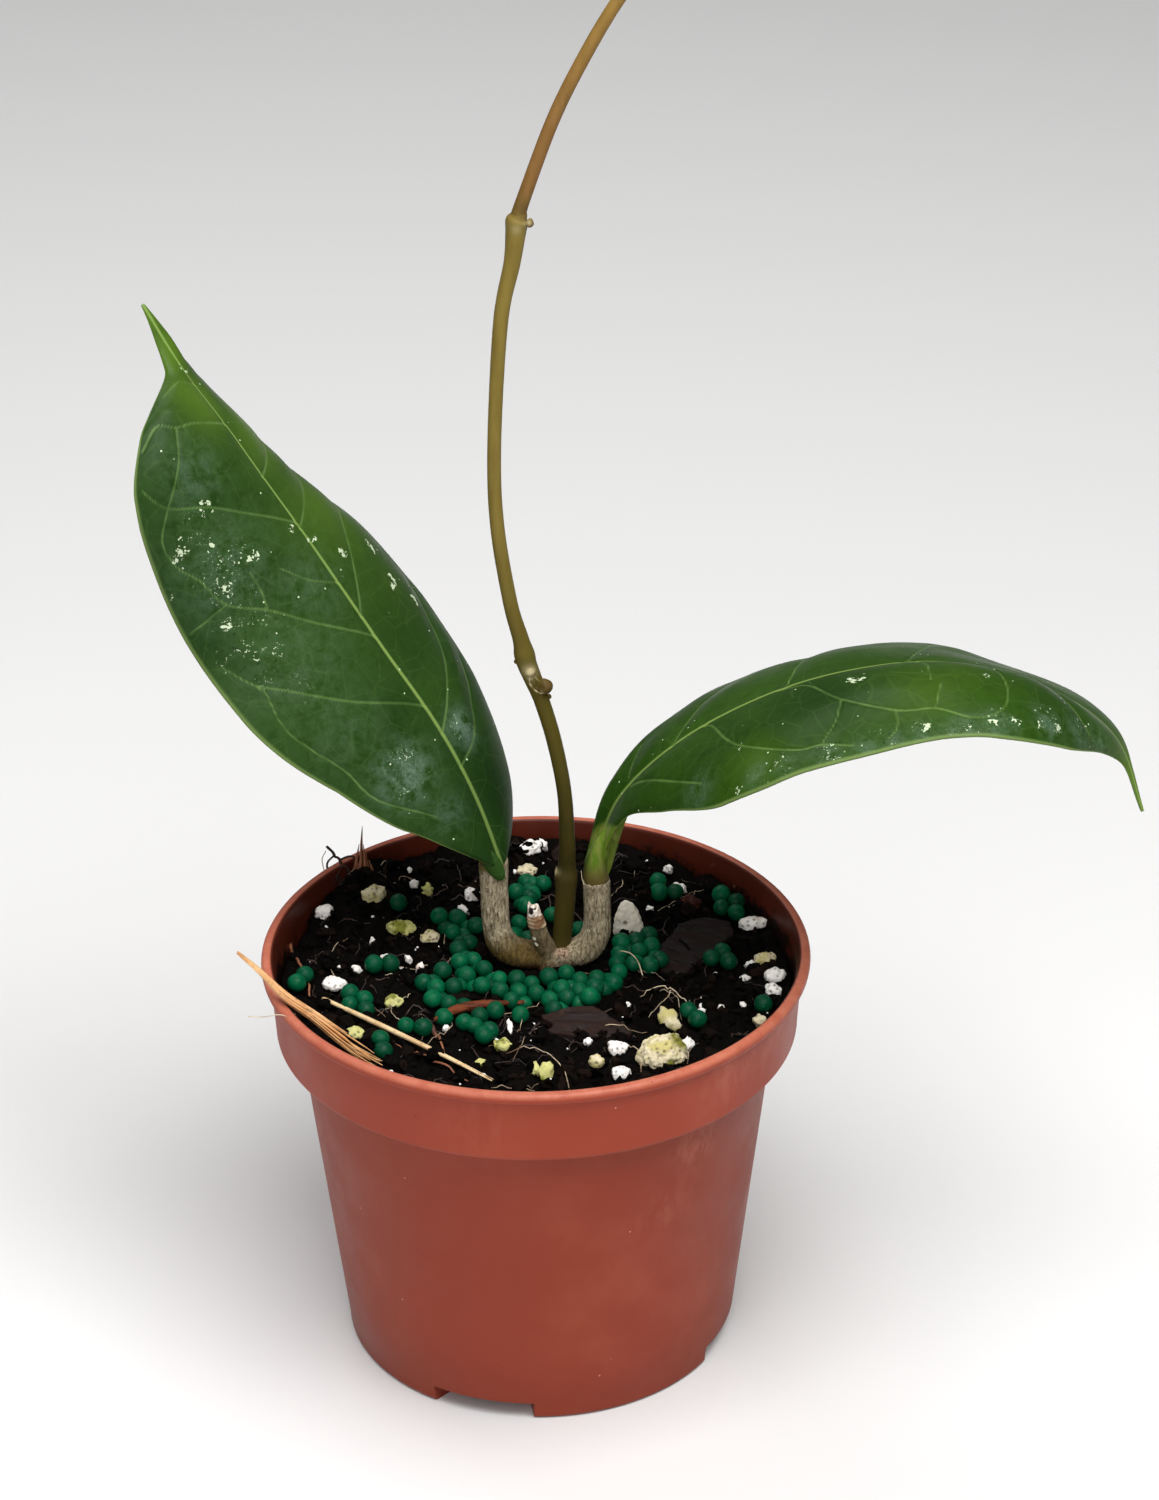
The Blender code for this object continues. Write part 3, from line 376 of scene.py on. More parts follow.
inward = pot.data.attributes.new("inside", "FLOAT", "POINT")
scuffed_and_sheen = pot.data.attributes.new("scuffed_and_sheen", "FLOAT", "POINT")
for vert in pot.data.vertices:
    away = Vector((vert.co.x, vert.co.y, 0.0)).normalized()
    inward.data[vert.index].value = max(0.0, -vert.normal.dot(away))
    scuffed_and_sheen.data[vert.index].value = sum(strength * nearness(vert.co / MM, spot, reach)
                                         for spot, reach, strength in SCUFFS_AND_SHEEN)

plastic = Finish("pot_plastic", 0.42, IOR=1.49, Specular_IOR_Level=0.2)
# a pale chalky bloom in patches, stronger toward the right side: there it is painted light
chalk_and_side_light = plastic.times(plastic.fade(plastic.grain(26.0, 5.0, 0.62), 0.50, 0.72),
                      plastic.fade(plastic.axis("X"), -0.02, 0.06, 0.25, 1.0))
warm = plastic.grain(14.0, 2.0)
skin = plastic.blend(warm, colour(140, 54, 34), colour(154, 63, 42))
# the body below the ledge is a little darker: painted shade under the collar
shaded_body_skin = plastic.blend(warm, colour(128, 48, 28), colour(140, 56, 34))
skin = plastic.blend(plastic.fade(plastic.axis("Z"), 0.0765, 0.0775), shaded_body_skin, skin)
skin = plastic.blend(plastic.times(chalk_and_side_light, 0.30), skin, colour(182, 96, 72))
# pale streaks at the scuffs, and painted sheen at the left edge
scratch_and_sheen = plastic.times(plastic.painted("scuffed_and_sheen"),
                        plastic.fade(plastic.grain(210.0, 5.0, 0.7, (1.0, 1.0, 0.45)), 0.40, 0.66))
skin = plastic.blend(plastic.times(scratch_and_sheen, 0.42), skin, colour(192, 118, 94))
# the top of the lip is lighter in patches: wear, and partly a painted highlight
worn_and_lit_lip = plastic.times(plastic.fade(plastic.axis("Z"), 0.0930, 0.0942), plastic.grain(240.0, 4.0, 0.7))
skin = plastic.blend(worn_and_lit_lip, skin, colour(196, 122, 98))
speck = plastic.fade(plastic.cells(210.0), 0.045, 0.03)
rare = plastic.fade(plastic.grain(150.0, 0.0), 0.66, 0.70)
skin = plastic.blend(plastic.times(speck, rare), skin, colour(70, 28, 18))
pale_rare = plastic.fade(plastic.grain(150.0, 0.0), 0.36, 0.32)
skin = plastic.blend(plastic.times(speck, pale_rare), skin, colour(222, 170, 146))
# darker toward the bottom
darker_low_down = plastic.times(plastic.fade(plastic.axis("Z"), 0.020, 0.0, 0.0, 0.5), plastic.grain(60.0, 4.0))
skin = plastic.blend(darker_low_down, skin, colour(104, 44, 30))
# the inner wall is dark red-brown, mostly painted shade, with soil smeared near the mix and paler dry spots
stain = plastic.blend(plastic.grain(70.0, 4.0, 0.6), colour(60, 22, 13), colour(92, 36, 22))
smear = plastic.maths("ADD", plastic.axis("Z"),
                      plastic.fade(plastic.grain(160.0, 5.0, 0.7), 0.3, 0.7, -0.0035, 0.0035))
stain = plastic.blend(plastic.fade(smear, 0.0895, 0.0865), stain, colour(24, 15, 11))
dry_spot = plastic.times(plastic.fade(plastic.grain(330.0, 4.0, 0.6), 0.66, 0.74), 0.5)
stain = plastic.blend(dry_spot, stain, colour(150, 104, 80))
# inward faces take the painted shade and the stains
skin = plastic.blend(plastic.fade(plastic.painted("inside"), 0.15, 0.65), skin, stain)
plastic.feed("Base Color", skin)
plastic.feed("Roughness", plastic.fade(plastic.grain(38.0, 4.0, 0.6), 0.3, 0.7, 0.36, 0.52))
plastic.relief(plastic.grain(900.0, 3.0, 0.6), 0.03)
placed(pot, "pot_plastic", plastic, "pot")


# Potting mix: dark moist peat and bark crumbs, poured into the pot to just below its lip.
# Its surface is uneven: low at the front and the right, and heaped at the back left.
MIX_LEVEL = 86.4
MIX_RIM_RADIUS = 55.7
MIX_FRONT_FALL = 0.012
MIX_BACK_RISE = 0.0015
# hollows and heaps as (height, place, reach), then long ripples as (height, along x, along y, start)
MIX_SWELLS = [(5.0, (-41.0, 37.0), 9.0), (0.2, (3.0, 8.0), 16.0), (-1.6, (46.0, 4.0), 12.0)]
MIX_RIPPLES = [(0.35, 0.31, 0.17, 0.0), (0.30, -0.35, 0.23, 1.3)]
MIX_GAP = 0.4
LUMP_MOST = 0.55
# sizes of lump, as (features to the millimetre, shift, drop between the lumps, tilt of each lump)
CRUMB_SIZES = [(0.22, (3.0, 7.0, 1.0), 1.5, 2.6), (0.62, (1.0, 2.0, 9.0), 0.9, 1.3)]
MIX_STEPS = 300
MIX_RINGS = 118
# the top is laid flat at this height first, and then let down onto its real form
MIX_TOP_MARK = 100.0
# the lumps lean the same way in every run
noise.seed_set(3)


def mix_height(x, y):
    """Height of the mix without its crumbs, in millimetres."""
    z = MIX_LEVEL + (MIX_BACK_RISE * y * y if y > 0 else MIX_FRONT_FALL * y)
    for height, (cx, cy), reach in MIX_SWELLS:
        z += height * math.exp(-((x - cx) ** 2 + (y - cy) ** 2) / (2 * reach ** 2))
    for height, along_x, along_y, start in MIX_RIPPLES:
        z += height * math.sin(along_x * x + along_y * y + start)
    return z


def crumb_relief(x, y):
    """Lumps and cracks of the mix, from about -2 to +0.6 mm."""
    place = Vector((x, y, 0.0))
    height = 0.55 + 0.9 * noise.noise(place * 0.12) + 0.35 * noise.noise(place * 1.9)
    for scale, shift, drop, tilt in CRUMB_SIZES:
        spot = place * scale + Vector(shift)
        distances, centres = noise.voronoi(spot)
        lean = noise.noise_vector(centres[0] * 7.3)
        height += tilt * (spot - centres[0]).dot(lean) - drop * distances[0] * distances[0]
    return height


def top_of_mix(x, y):
    """Height of the mix with its crumbs."""
    return mix_height(x, y) + min(crumb_relief(x, y), LUMP_MOST)


mix_sides = [
    (0.0, FLOOR_HEIGHT + MIX_GAP), (FOOT_RADIUS - 2.6 - MIX_GAP, FLOOR_HEIGHT + MIX_GAP),
    (FOOT_RADIUS - 1.2 - MIX_GAP, 3.0 + MIX_GAP), (BODY_TOP_RADIUS - 1.1 - MIX_GAP, LEDGE_HEIGHT + 0.3),
    (COLLAR_FOOT_RADIUS - 1.6 - MIX_GAP, LEDGE_HEIGHT + 2.2),
]
mix_top = [(MIX_RIM_RADIUS * (1.0 - k / MIX_RINGS), MIX_TOP_MARK) for k in range(MIX_RINGS + 1)]
mix_shape = turned_shape(mix_sides + mix_top, MIX_STEPS)
for vert in mix_shape.verts:
    if vert.co.z > MIX_TOP_MARK - 1.0:
        vert.co.z = top_of_mix(vert.co.x, vert.co.y)
mix = shaped("potting_mix_crumbly", mix_shape)
combined(mix, [recess_block(i, FOOT_RADIUS + 3.0, -1.0, recess_roof + MIX_GAP, FLOOR_HEIGHT + 2 * MIX_GAP)
               for i in range(RECESSES)], "DIFFERENCE")

peat = Finish("potting_mix", 0.92, Specular_IOR_Level=0.03)
fibre = peat.grain(420.0, 4.0, 0.7, (1.0, 0.35, 1.0), 0.8)
earth = peat.blend(peat.grain(180.0, 4.0, 0.65), colour(4, 3, 3), colour(12, 9, 7))
earth = peat.blend(peat.fade(fibre, 0.66, 0.78), earth, colour(42, 28, 20))
flake = peat.times(peat.fade(peat.cells(520.0), 0.16, 0.10), peat.fade(peat.grain(90.0, 2.0), 0.60, 0.66))
earth = peat.blend(flake, earth, colour(104, 90, 76))
peat.feed("Base Color", earth)
peat.feed("Roughness", peat.fade(peat.grain(70.0, 3.0), 0.40, 0.60, 0.62, 0.96))
peat.relief(peat.grain(800.0, 5.0, 0.7), 0.5)
placed(mix, "potting_mix", peat, "potting_mix")


# Old cutting: two corky grey petioles in a U, joined on a buried piece of stem.
# A pale stub between them is where an older shoot was cut off; it is all one grown piece.
LEFT_JOINT = 109.6
RIGHT_JOINT = 106.6
# middle lines of the two petioles, of the stub and of the buried stem
LEFT_PETIOLE = [
    (-9.1, 7.0, LEFT_JOINT + 2.6), (-9.0, 6.9, 104.0), (-8.7, 6.6, 96.4), (-7.1, 6.5, 91.5),
    (-3.1, 6.5, 89.2), (2.5, 6.5, 89.1),
]
RIGHT_PETIOLE = [
    (1.5, 6.5, 89.1), (7.3, 6.5, 89.1), (11.1, 6.5, 90.7), (13.1, 6.5, 94.4), (13.5, 6.5, 99.5),
    (13.3, 6.5, RIGHT_JOINT + 1.3),
]
STUB = [(3.6, 6.0, 88.0), (2.2, 5.2, 91.0), (0.8, 4.2, 95.5), (0.0, 3.8, 99.0), (-0.5, 3.6, 102.4)]
BURIED = [(3.2, 6.5, 89.0), (3.0, 6.4, 80.0), (2.2, 5.6, 62.0), (1.4, 4.8, 46.0)]
CORK_VOXEL = 0.26
STUB_TEAR = 100.6
STUB_HOLE = Vector((-1.0, 2.5, 102.0))
STUB_HOLE_REACH = 0.62
STUB_RIDGES = [100.2, 99.1, 98.2]
STUB_RIDGE_HEIGHT = 0.20
STUB_DOTS = [Vector((-0.5, 2.75, 95.2)), Vector((0.1, 2.9, 93.7))]
STUB_DOT_REACH = 0.55
CORK_RIB_HEIGHT = 0.14
CORK_FLAKE_HEIGHT = 0.07
SCAR = Vector((5.6, 3.7, 91.4))
SCAR_REACH = 2.0


def curve_through(points, share):
    """A point on the smooth curve through the points, share running 0 to 1."""
    spans = len(points) - 1
    along = min(max(share, 0.0), 1.0) * spans
    i = min(int(along), spans - 1)
    t = along - i
    p1, p2 = Vector(points[i]), Vector(points[i + 1])
    p0 = Vector(points[i - 1]) if i > 0 else 2 * p1 - p2
    p3 = Vector(points[i + 2]) if i + 2 <= spans else 2 * p2 - p1
    m1, m2 = (p2 - p0) / 2, (p3 - p1) / 2
    t2, t3 = t * t, t * t * t
    return (2 * t3 - 3 * t2 + 1) * p1 + (t3 - 2 * t2 + t) * m1 + (3 * t2 - 2 * t3) * p2 + (t3 - t2) * m2


def value_at(knots, values, share):
    """Smooth interpolation that never overshoots its values."""
    slopes = [(values[i + 1] - values[i]) / (knots[i + 1] - knots[i]) for i in range(len(knots) - 1)]
    ends = [slopes[0]]
    for a, b in zip(slopes[:-1], slopes[1:]):
        ends.append(0.0 if a * b <= 0 else 2 * a * b / (a + b))
    ends.append(slopes[-1])
    i = 0
    while i < len(knots) - 2 and share > knots[i + 1]:
        i += 1
    width = knots[i + 1] - knots[i]
    t = (share - knots[i]) / width
    t2, t3 = t * t, t * t * t
    return ((2 * t3 - 3 * t2 + 1) * values[i] + (t3 - 2 * t2 + t) * width * ends[i]
            + (3 * t2 - 2 * t3) * values[i + 1] + (t3 - t2) * width * ends[i + 1])


def strands(name, routes, sides):
    """Round strands: for each a list of points and a list of radii, in millimetres."""
    path = bpy.data.curves.new(name, "CURVE")
    path.dimensions = "3D"
    path.bevel_depth = MM
    path.bevel_resolution = max(0, (sides - 4) // 2)
    path.use_fill_caps = True
    for points, radii in routes:
        spline = path.splines.new("POLY")
        spline.points.add(len(points) - 1)
        for point, place, radius in zip(spline.points, points, radii):
            point.co = (*(Vector(place) * MM), 1.0)
            point.radius = radius
    holder = new_object(name, path)
    depsgraph = bpy.context.evaluated_depsgraph_get()
    depsgraph.update()
    mesh = bpy.data.meshes.new_from_object(holder.evaluated_get(depsgraph))
    bpy.data.objects.remove(holder, do_unlink=True)
    bpy.data.curves.remove(path)
    bm = bmesh.new()
    bm.from_mesh(mesh)
    bmesh.ops.remove_doubles(bm, verts=bm.verts, dist=0.0005 * MM)
    bmesh.ops.recalc_face_normals(bm, faces=bm.faces)
    bm.to_mesh(mesh)
    bm.free()
    mesh.shade_smooth()
    return new_object(name, mesh)


def smooth_route(points, radii, rings):
    """Points and radii for a strand along the smooth curve through the points."""
    shares = [i / (len(points) - 1) for i in range(len(points))]
    places = [curve_through(points, k / rings) for k in range(rings + 1)]
    widths = [value_at(shares, radii, k / rings) for k in range(rings + 1)]
    return places, widths


cutting = strands("corky_cutting", [smooth_route(LEFT_PETIOLE, [3.25, 3.05, 3.05, 3.4, 3.3, 3.1], 60)], 24)
cutting_parts = [
    strands("right_petiole", [smooth_route(RIGHT_PETIOLE, [3.1, 3.15, 3.35, 3.2, 3.0, 3.0], 60)], 24),
    strands("stub", [smooth_route(STUB, [2.4, 2.2, 2.0, 1.75, 1.35], 40)], 20),
    strands("buried", [smooth_route(BURIED, [3.5, 3.4, 3.3, 3.2], 30)], 20),
]
combined(cutting, cutting_parts, "UNION")
even = cutting.modifiers.new("even", "REMESH")
even.mode = "VOXEL"
even.voxel_size = CORK_VOXEL * MM
settled(cutting)
cork_shape = bmesh.new()
cork_shape.from_mesh(cutting.data)
for step in range(2):
    bmesh.ops.smooth_vert(cork_shape, verts=cork_shape.verts, factor=0.5, use_axis_x=True, use_axis_y=True,
                          use_axis_z=True)
cork_shape.normal_update()
torn = cork_shape.verts.layers.float.new("torn")
ringed = cork_shape.verts.layers.float.new("ringed")
crusted = cork_shape.verts.layers.float.new("crusted")
hollow = cork_shape.verts.layers.float.new("hollow")
shoot = cork_shape.verts.layers.float.new("shoot")
dotted = cork_shape.verts.layers.float.new("dotted")
for vert in cork_shape.verts:
    place = vert.co / MM
    ribs = noise.noise(Vector((place.x * 1.5, place.y * 1.5, place.z * 0.28)))
    flakes = noise.noise(place * 2.4)
    shift = vert.normal * (CORK_RIB_HEIGHT * ribs + CORK_FLAKE_HEIGHT * flakes)
    crust = nearness(place, SCAR, SCAR_REACH)
    shift += vert.normal * (crust * (0.35 + 0.4 * noise.noise(place * 1.7)))
    vert[crusted] = crust
    if vert.normal.z > 0.6 and place.z > 105.0:
        shift = Vector((0.0, 0.0, 0.55 * noise.noise(place * 0.9)))
        if place.x < 0.0:
            shift.z += 1.0 * max(0.0, place.x + 9.1) / 3.0
    stub_share = (place.z - STUB[0][2]) / (STUB[-1][2] - STUB[0][2])
    centre = curve_through(STUB, stub_share)
    from_stub = math.hypot(place.x - centre.x, place.y - centre.y)
    vert[shoot] = clamped((2.9 - from_stub) / 0.5) * clamped((stub_share - 0.12) / 0.15)
    vert[dotted] = max(nearness(place, dot, STUB_DOT_REACH) for dot in STUB_DOTS)
    if stub_share > 0.35 and from_stub < 2.5:
        ring = sum(math.exp(-((place.z - height) / 0.45) ** 2) for height in STUB_RIDGES)
        shift += vert.normal * (STUB_RIDGE_HEIGHT * ring)
        vert[ringed] = clamped((place.z - STUB_RIDGES[-1] + 0.6) / 0.8)
        ragged = 0.7 * noise.noise(Vector((place.x * 1.4, place.y * 1.4, 3.0)))
        vert[torn] = clamped((place.z - STUB_TEAR + ragged) / 0.5)
        vert[hollow] = nearness(place, STUB_HOLE, STUB_HOLE_REACH)
        if vert.normal.z > 0.3 and place.z > STUB_TEAR:
            rim = min(1.0, from_stub / 1.1)
            shift.z += 1.1 * rim ** 2 * (0.6 + 1.6 * noise.noise(place * 0.9)) - 1.1 * (1.0 - rim)
            vert[hollow] = max(vert[hollow], 1.0 - rim)
    vert.co = vert.co + shift * MM
cork_shape.to_mesh(cutting.data)
cork_shape.free()
cutting.data.shade_smooth()

cork = Finish("corky_stem", 0.82, Specular_IOR_Level=0.2)
streak = cork.grain(1500.0, 5.0, 0.7, (1.0, 1.0, 0.30))
rind = cork.blend(cork.fade(streak, 0.32, 0.68), colour(90, 78, 55), colour(176, 162, 134))
rind = cork.blend(cork.fade(cork.grain(2600.0, 3.0, 0.7, (1.0, 1.0, 0.30)), 0.57, 0.66), rind,
                  colour(198, 188, 164))
rind = cork.blend(cork.fade(cork.grain(2100.0, 4.0, 0.7, (1.0, 1.0, 0.25)), 0.42, 0.33), rind,
                  colour(62, 50, 34))
wavy_height = cork.maths("ADD", cork.axis("Z"), cork.fade(cork.grain(220.0, 2.0), 0.0, 1.0, -0.003, 0.003))
olive = cork.times(cork.fade(wavy_height, 0.0975, 0.0915),
                   cork.fade(cork.axis("X"), -0.0005, 0.0065, 1.0, 0.25))
rind = cork.blend(olive, rind,
                  cork.blend(cork.fade(streak, 0.3, 0.7), colour(58, 44, 18), colour(100, 82, 40)))
top_patch = cork.times(cork.fade(wavy_height, 0.1105, 0.1120), cork.fade(cork.axis("X"), -0.0085, -0.0095))
rind = cork.blend(top_patch, rind, colour(92, 82, 42))
rind = cork.blend(cork.fade(cork.axis("Z"), 0.0885, 0.0865, 0.0, 0.8), rind, colour(78, 42, 26))
rind = cork.blend(cork.fade(cork.painted("crusted"), 0.25, 0.7), rind,
                  cork.blend(cork.fade(cork.grain(1700.0, 3.0), 0.35, 0.65), colour(92, 70, 52),
                             colour(170, 144, 122)))
rind = cork.blend(cork.fade(cork.painted("shoot"), 0.3, 0.8, 0.0, 0.85), rind,
                  cork.blend(cork.fade(streak, 0.3, 0.7), colour(72, 60, 40), colour(112, 97, 70)))
on_stub = cork.fade(cork.painted("ringed"), 0.2, 0.8)
rind = cork.blend(on_stub, rind, cork.blend(cork.fade(cork.grain(800.0, 2.0, 0.5, (0.3, 0.3, 1.0)), 0.4, 0.6),
                                            colour(122, 88, 62), colour(188, 164, 132)))
rind = cork.blend(cork.fade(cork.painted("torn"), 0.2, 0.8), rind,
                  cork.blend(cork.fade(cork.grain(1500.0, 3.0), 0.35, 0.6), colour(172, 150, 130),
                             colour(228, 218, 208)))
# the hollow in the stub's torn top is near black: painted shade
rind = cork.blend(cork.fade(cork.painted("hollow"), 0.25, 0.6), rind, colour(16, 10, 8))
rind = cork.blend(cork.fade(cork.painted("dotted"), 0.35, 0.5), rind, colour(255, 248, 226))
cork.feed("Base Color", rind)
cork.relief(cork.grain(1900.0, 5.0, 0.7, (1.0, 1.0, 0.35)), 0.26)
placed(cutting, "corky_stem", cork, "old_cutting")


# New vine: a smooth olive-brown young shoot that grows out of the cutting and climbs out of sight.
# Its nodes are swollen, with small buds and the scars of fallen leaves; it ends in a fine growing tip.
# the middle line from below, as (place, radius)
VINE = [
    ((5.3, 6.5, 87.0), 2.5),
    ((5.6, 6.5, 92.0), 2.1),
    ((6.2, 6.5, 99.0), 2.2),
    ((6.6, 6.5, 105.0), 2.3),
    ((6.7, 6.5, 108.6), 2.5),
    ((6.9, 6.5, 111.8), 1.95),
    ((7.0, 6.2, 118.0), 1.75),
    ((6.5, 6.0, 130.0), 1.6),
    ((4.5, 5.5, 142.5), 1.65),
    ((2.0, 5.0, 152.5), 1.7),
    ((0.4, 4.6, 157.5), 1.9),
    ((-1.0, 4.5, 161.5), 2.1),
    ((-1.6, 4.5, 164.0), 2.25),
    ((-2.4, 4.5, 168.0), 1.75),
    ((-4.5, 4.0, 177.0), 1.55),
    ((-6.9, 3.5, 195.0), 1.5),
    ((-7.2, 3.5, 213.0), 1.45),
    ((-5.5, 5.5, 239.5), 1.55),
    ((-3.0, 7.0, 252.0), 1.75),
    ((-2.2, 7.8, 258.0), 2.1),
    ((-1.9, 8.0, 260.6), 2.35),
    ((-1.5, 8.1, 261.9), 1.75),
    ((-0.6, 8.4, 265.0), 1.45),
    ((5.5, 10.5, 281.0), 1.4),
    ((11.5, 12.0, 293.0), 1.4),
    ((18.5, 14.0, 304.5), 1.35),
    ((27.0, 16.5, 315.5), 1.3),
    ((29.0, 17.0, 317.8), 1.9),
    ((31.0, 17.6, 320.0), 1.2),
    ((38.5, 20.0, 327.5), 1.1),
    ((45.5, 22.5, 333.5), 0.9),
    ((50.0, 24.0, 337.0), 0.6),
]
# buds and swellings at the nodes, as (place, radius, length)
NODE_BUDS = [
    ((2.6, 3.7, 157.0), 1.75, 3.6),
    ((-0.5, 3.1, 160.9), 1.3, 2.6),
    ((-3.5, 4.6, 162.4), 0.45, 1.0),
    ((3.6, 4.4, 154.2), 0.40, 1.3),
    ((0.7, 7.2, 260.6), 0.9, 2.0),
    ((4.6, 5.3, 110.2), 0.42, 3.6),
    ((46.4, 23.8, 334.9), 1.2, 3.6),
    ((47.6, 22.4, 334.6), 1.1, 3.4),
]
# the two pale claws of an old bud scale, on the front of the lower node
CLAWS = [
    [(-0.6, 2.6, 160.0), (-0.5, 2.3, 158.2), (0.7, 2.2, 156.6), (2.0, 2.3, 155.8)],
    [(0.4, 2.3, 160.0), (1.2, 1.9, 159.3), (2.0, 1.9, 158.4), (2.6, 2.0, 157.4)],
]
# pale scars and brown rind, as (place, reach in millimetres, strength)
VINE_MARKS = {
    "pale": [((-0.5, 2.0, 161.0), 1.5, 0.9), ((4.2, 4.8, 110.9), 0.9, 0.7), ((-0.6, 2.3, 158.0), 0.5, 1.0),
             ((0.7, 2.1, 156.6), 0.5, 1.0), ((1.9, 2.2, 155.8), 0.5, 1.0), ((0.4, 6.0, 261.0), 0.9, 0.7),
             ((-0.5, 2.4, 159.4), 0.6, 0.9), ((-2.0, 6.0, 259.8), 1.0, 0.4)],
    "brown": [((3.0, 3.2, 157.2), 1.7, 0.9), ((1.2, 7.0, 260.4), 1.3, 0.9), ((-0.9, 8.2, 263.5), 2.6, 0.9),
              ((6.6, 5.0, 107.5), 3.5, 0.25)],
}


def bud(place, radius, length, lean):
    """A small egg-shaped bud that leans the way the stem runs."""
    bm = bmesh.new()
    bmesh.ops.create_icosphere(bm, subdivisions=4, radius=1.0)
    for vert in bm.verts:
        taper = 1.0 - 0.35 * max(0.0, vert.co.z)
        vert.co = Vector((vert.co.x * radius * taper, vert.co.y * radius * taper, vert.co.z * length / 2))
        vert.co.rotate(lean)
        vert.co += Vector(place)
    return shaped("bud", bm)


vine = strands("young_vine", [smooth_route([p for p, r in VINE], [r for p, r in VINE], 460)], 24)
vine_buds = [strands("claws", [smooth_route(points, [0.10, 0.24, 0.20, 0.08], 16) for points in CLAWS], 8)]
for place, radius, length in NODE_BUDS:
    near = min(range(len(VINE)), key=lambda i: (Vector(VINE[i][0]) - Vector(place)).length)
    ahead = Vector(VINE[min(near + 1, len(VINE) - 1)][0]) - Vector(VINE[max(near - 1, 0)][0])
    vine_buds.append(bud(place, radius, length, ahead.to_track_quat("Z", "Y")))
combined(vine, vine_buds, "UNION")
vine.data.shade_smooth()
for kind, spots in VINE_MARKS.items():
    marks = vine.data.attributes.new(kind, "FLOAT", "POINT").data
    for vert in vine.data.vertices:
        marks[vert.index].value = max(strength * nearness(vert.co / MM, spot, reach)
                                      for spot, reach, strength in spots)

bark_skin = Finish("vine", 0.46, IOR=1.45, Specular_IOR_Level=0.1)
rise = bark_skin.axis("Z")
low_tone = bark_skin.blend(bark_skin.fade(rise, 0.089, 0.095), colour(78, 66, 38), colour(58, 53, 20))
low_tone = bark_skin.blend(bark_skin.fade(rise, 0.106, 0.114), low_tone, colour(43, 40, 12))
stem_tone = bark_skin.blend(bark_skin.fade(rise, 0.112, 0.150), low_tone, colour(80, 72, 26))
stem_tone = bark_skin.blend(bark_skin.fade(rise, 0.150, 0.200), stem_tone, colour(120, 104, 48))
stem_tone = bark_skin.blend(bark_skin.fade(rise, 0.262, 0.268), stem_tone, colour(124, 90, 50))
stem_tone = bark_skin.blend(bark_skin.fade(rise, 0.272, 0.310), stem_tone, colour(132, 104, 52))
stem_tone = bark_skin.blend(bark_skin.fade(bark_skin.grain(420.0, 4.0, 0.6, (1.0, 1.0, 0.25)), 0.35, 0.75,
                                           0.0, 0.35),
                            stem_tone, colour(80, 62, 22))
stem_tone = bark_skin.blend(bark_skin.painted("brown"), stem_tone, colour(78, 56, 32))
stem_tone = bark_skin.blend(bark_skin.painted("pale"), stem_tone, colour(176, 164, 126))
bark_skin.feed("Base Color", stem_tone)
bark_skin.relief(bark_skin.grain(1300.0, 3.0, 0.6, (1.0, 1.0, 0.25)), 0.04)
placed(vine, "vine", bark_skin, "new_vine")


# Leaves: two thick waxy blades, each grown on its own petiole and folded a little along its midrib.
# The upper side is glossy green with pale veins, silver flecks and a film of dried water, with painted
# sunlight, shade, sheen and glints on it.
# Each blade ends in a long drawn-out tip.
FACING = Vector((0.0, -0.881, 0.473))
FOLD_AT_MIDRIB = 3.0
BLADE_CELLS_ALONG = 312
BLADE_CELLS_ACROSS = 152
BLADE_THICK_MIDDLE = 1.3
BLADE_THICK_EDGE = 0.55
VEIN_SINK = 0.16
VEIN_REACH = 3.4
QUILT_RISE = 0.34
MIDRIB_TROUGH = 0.30
MIDRIB_TROUGH_REACH = 1.6
BLADE_WAVE = 0.35
# cells are set closer together toward the margins by this power
MARGIN_SQUEEZE = 1.12
# where along the blade each leaf's keel gives the half width of the midrib's ridge underneath
KEEL_SHARES = [0.0, 0.03, 0.08, 0.15, 0.25, 0.37, 0.5, 0.63, 0.76, 0.86, 1.0]
BAND_FADE = 5.0
BAND_EDGE = 1.6


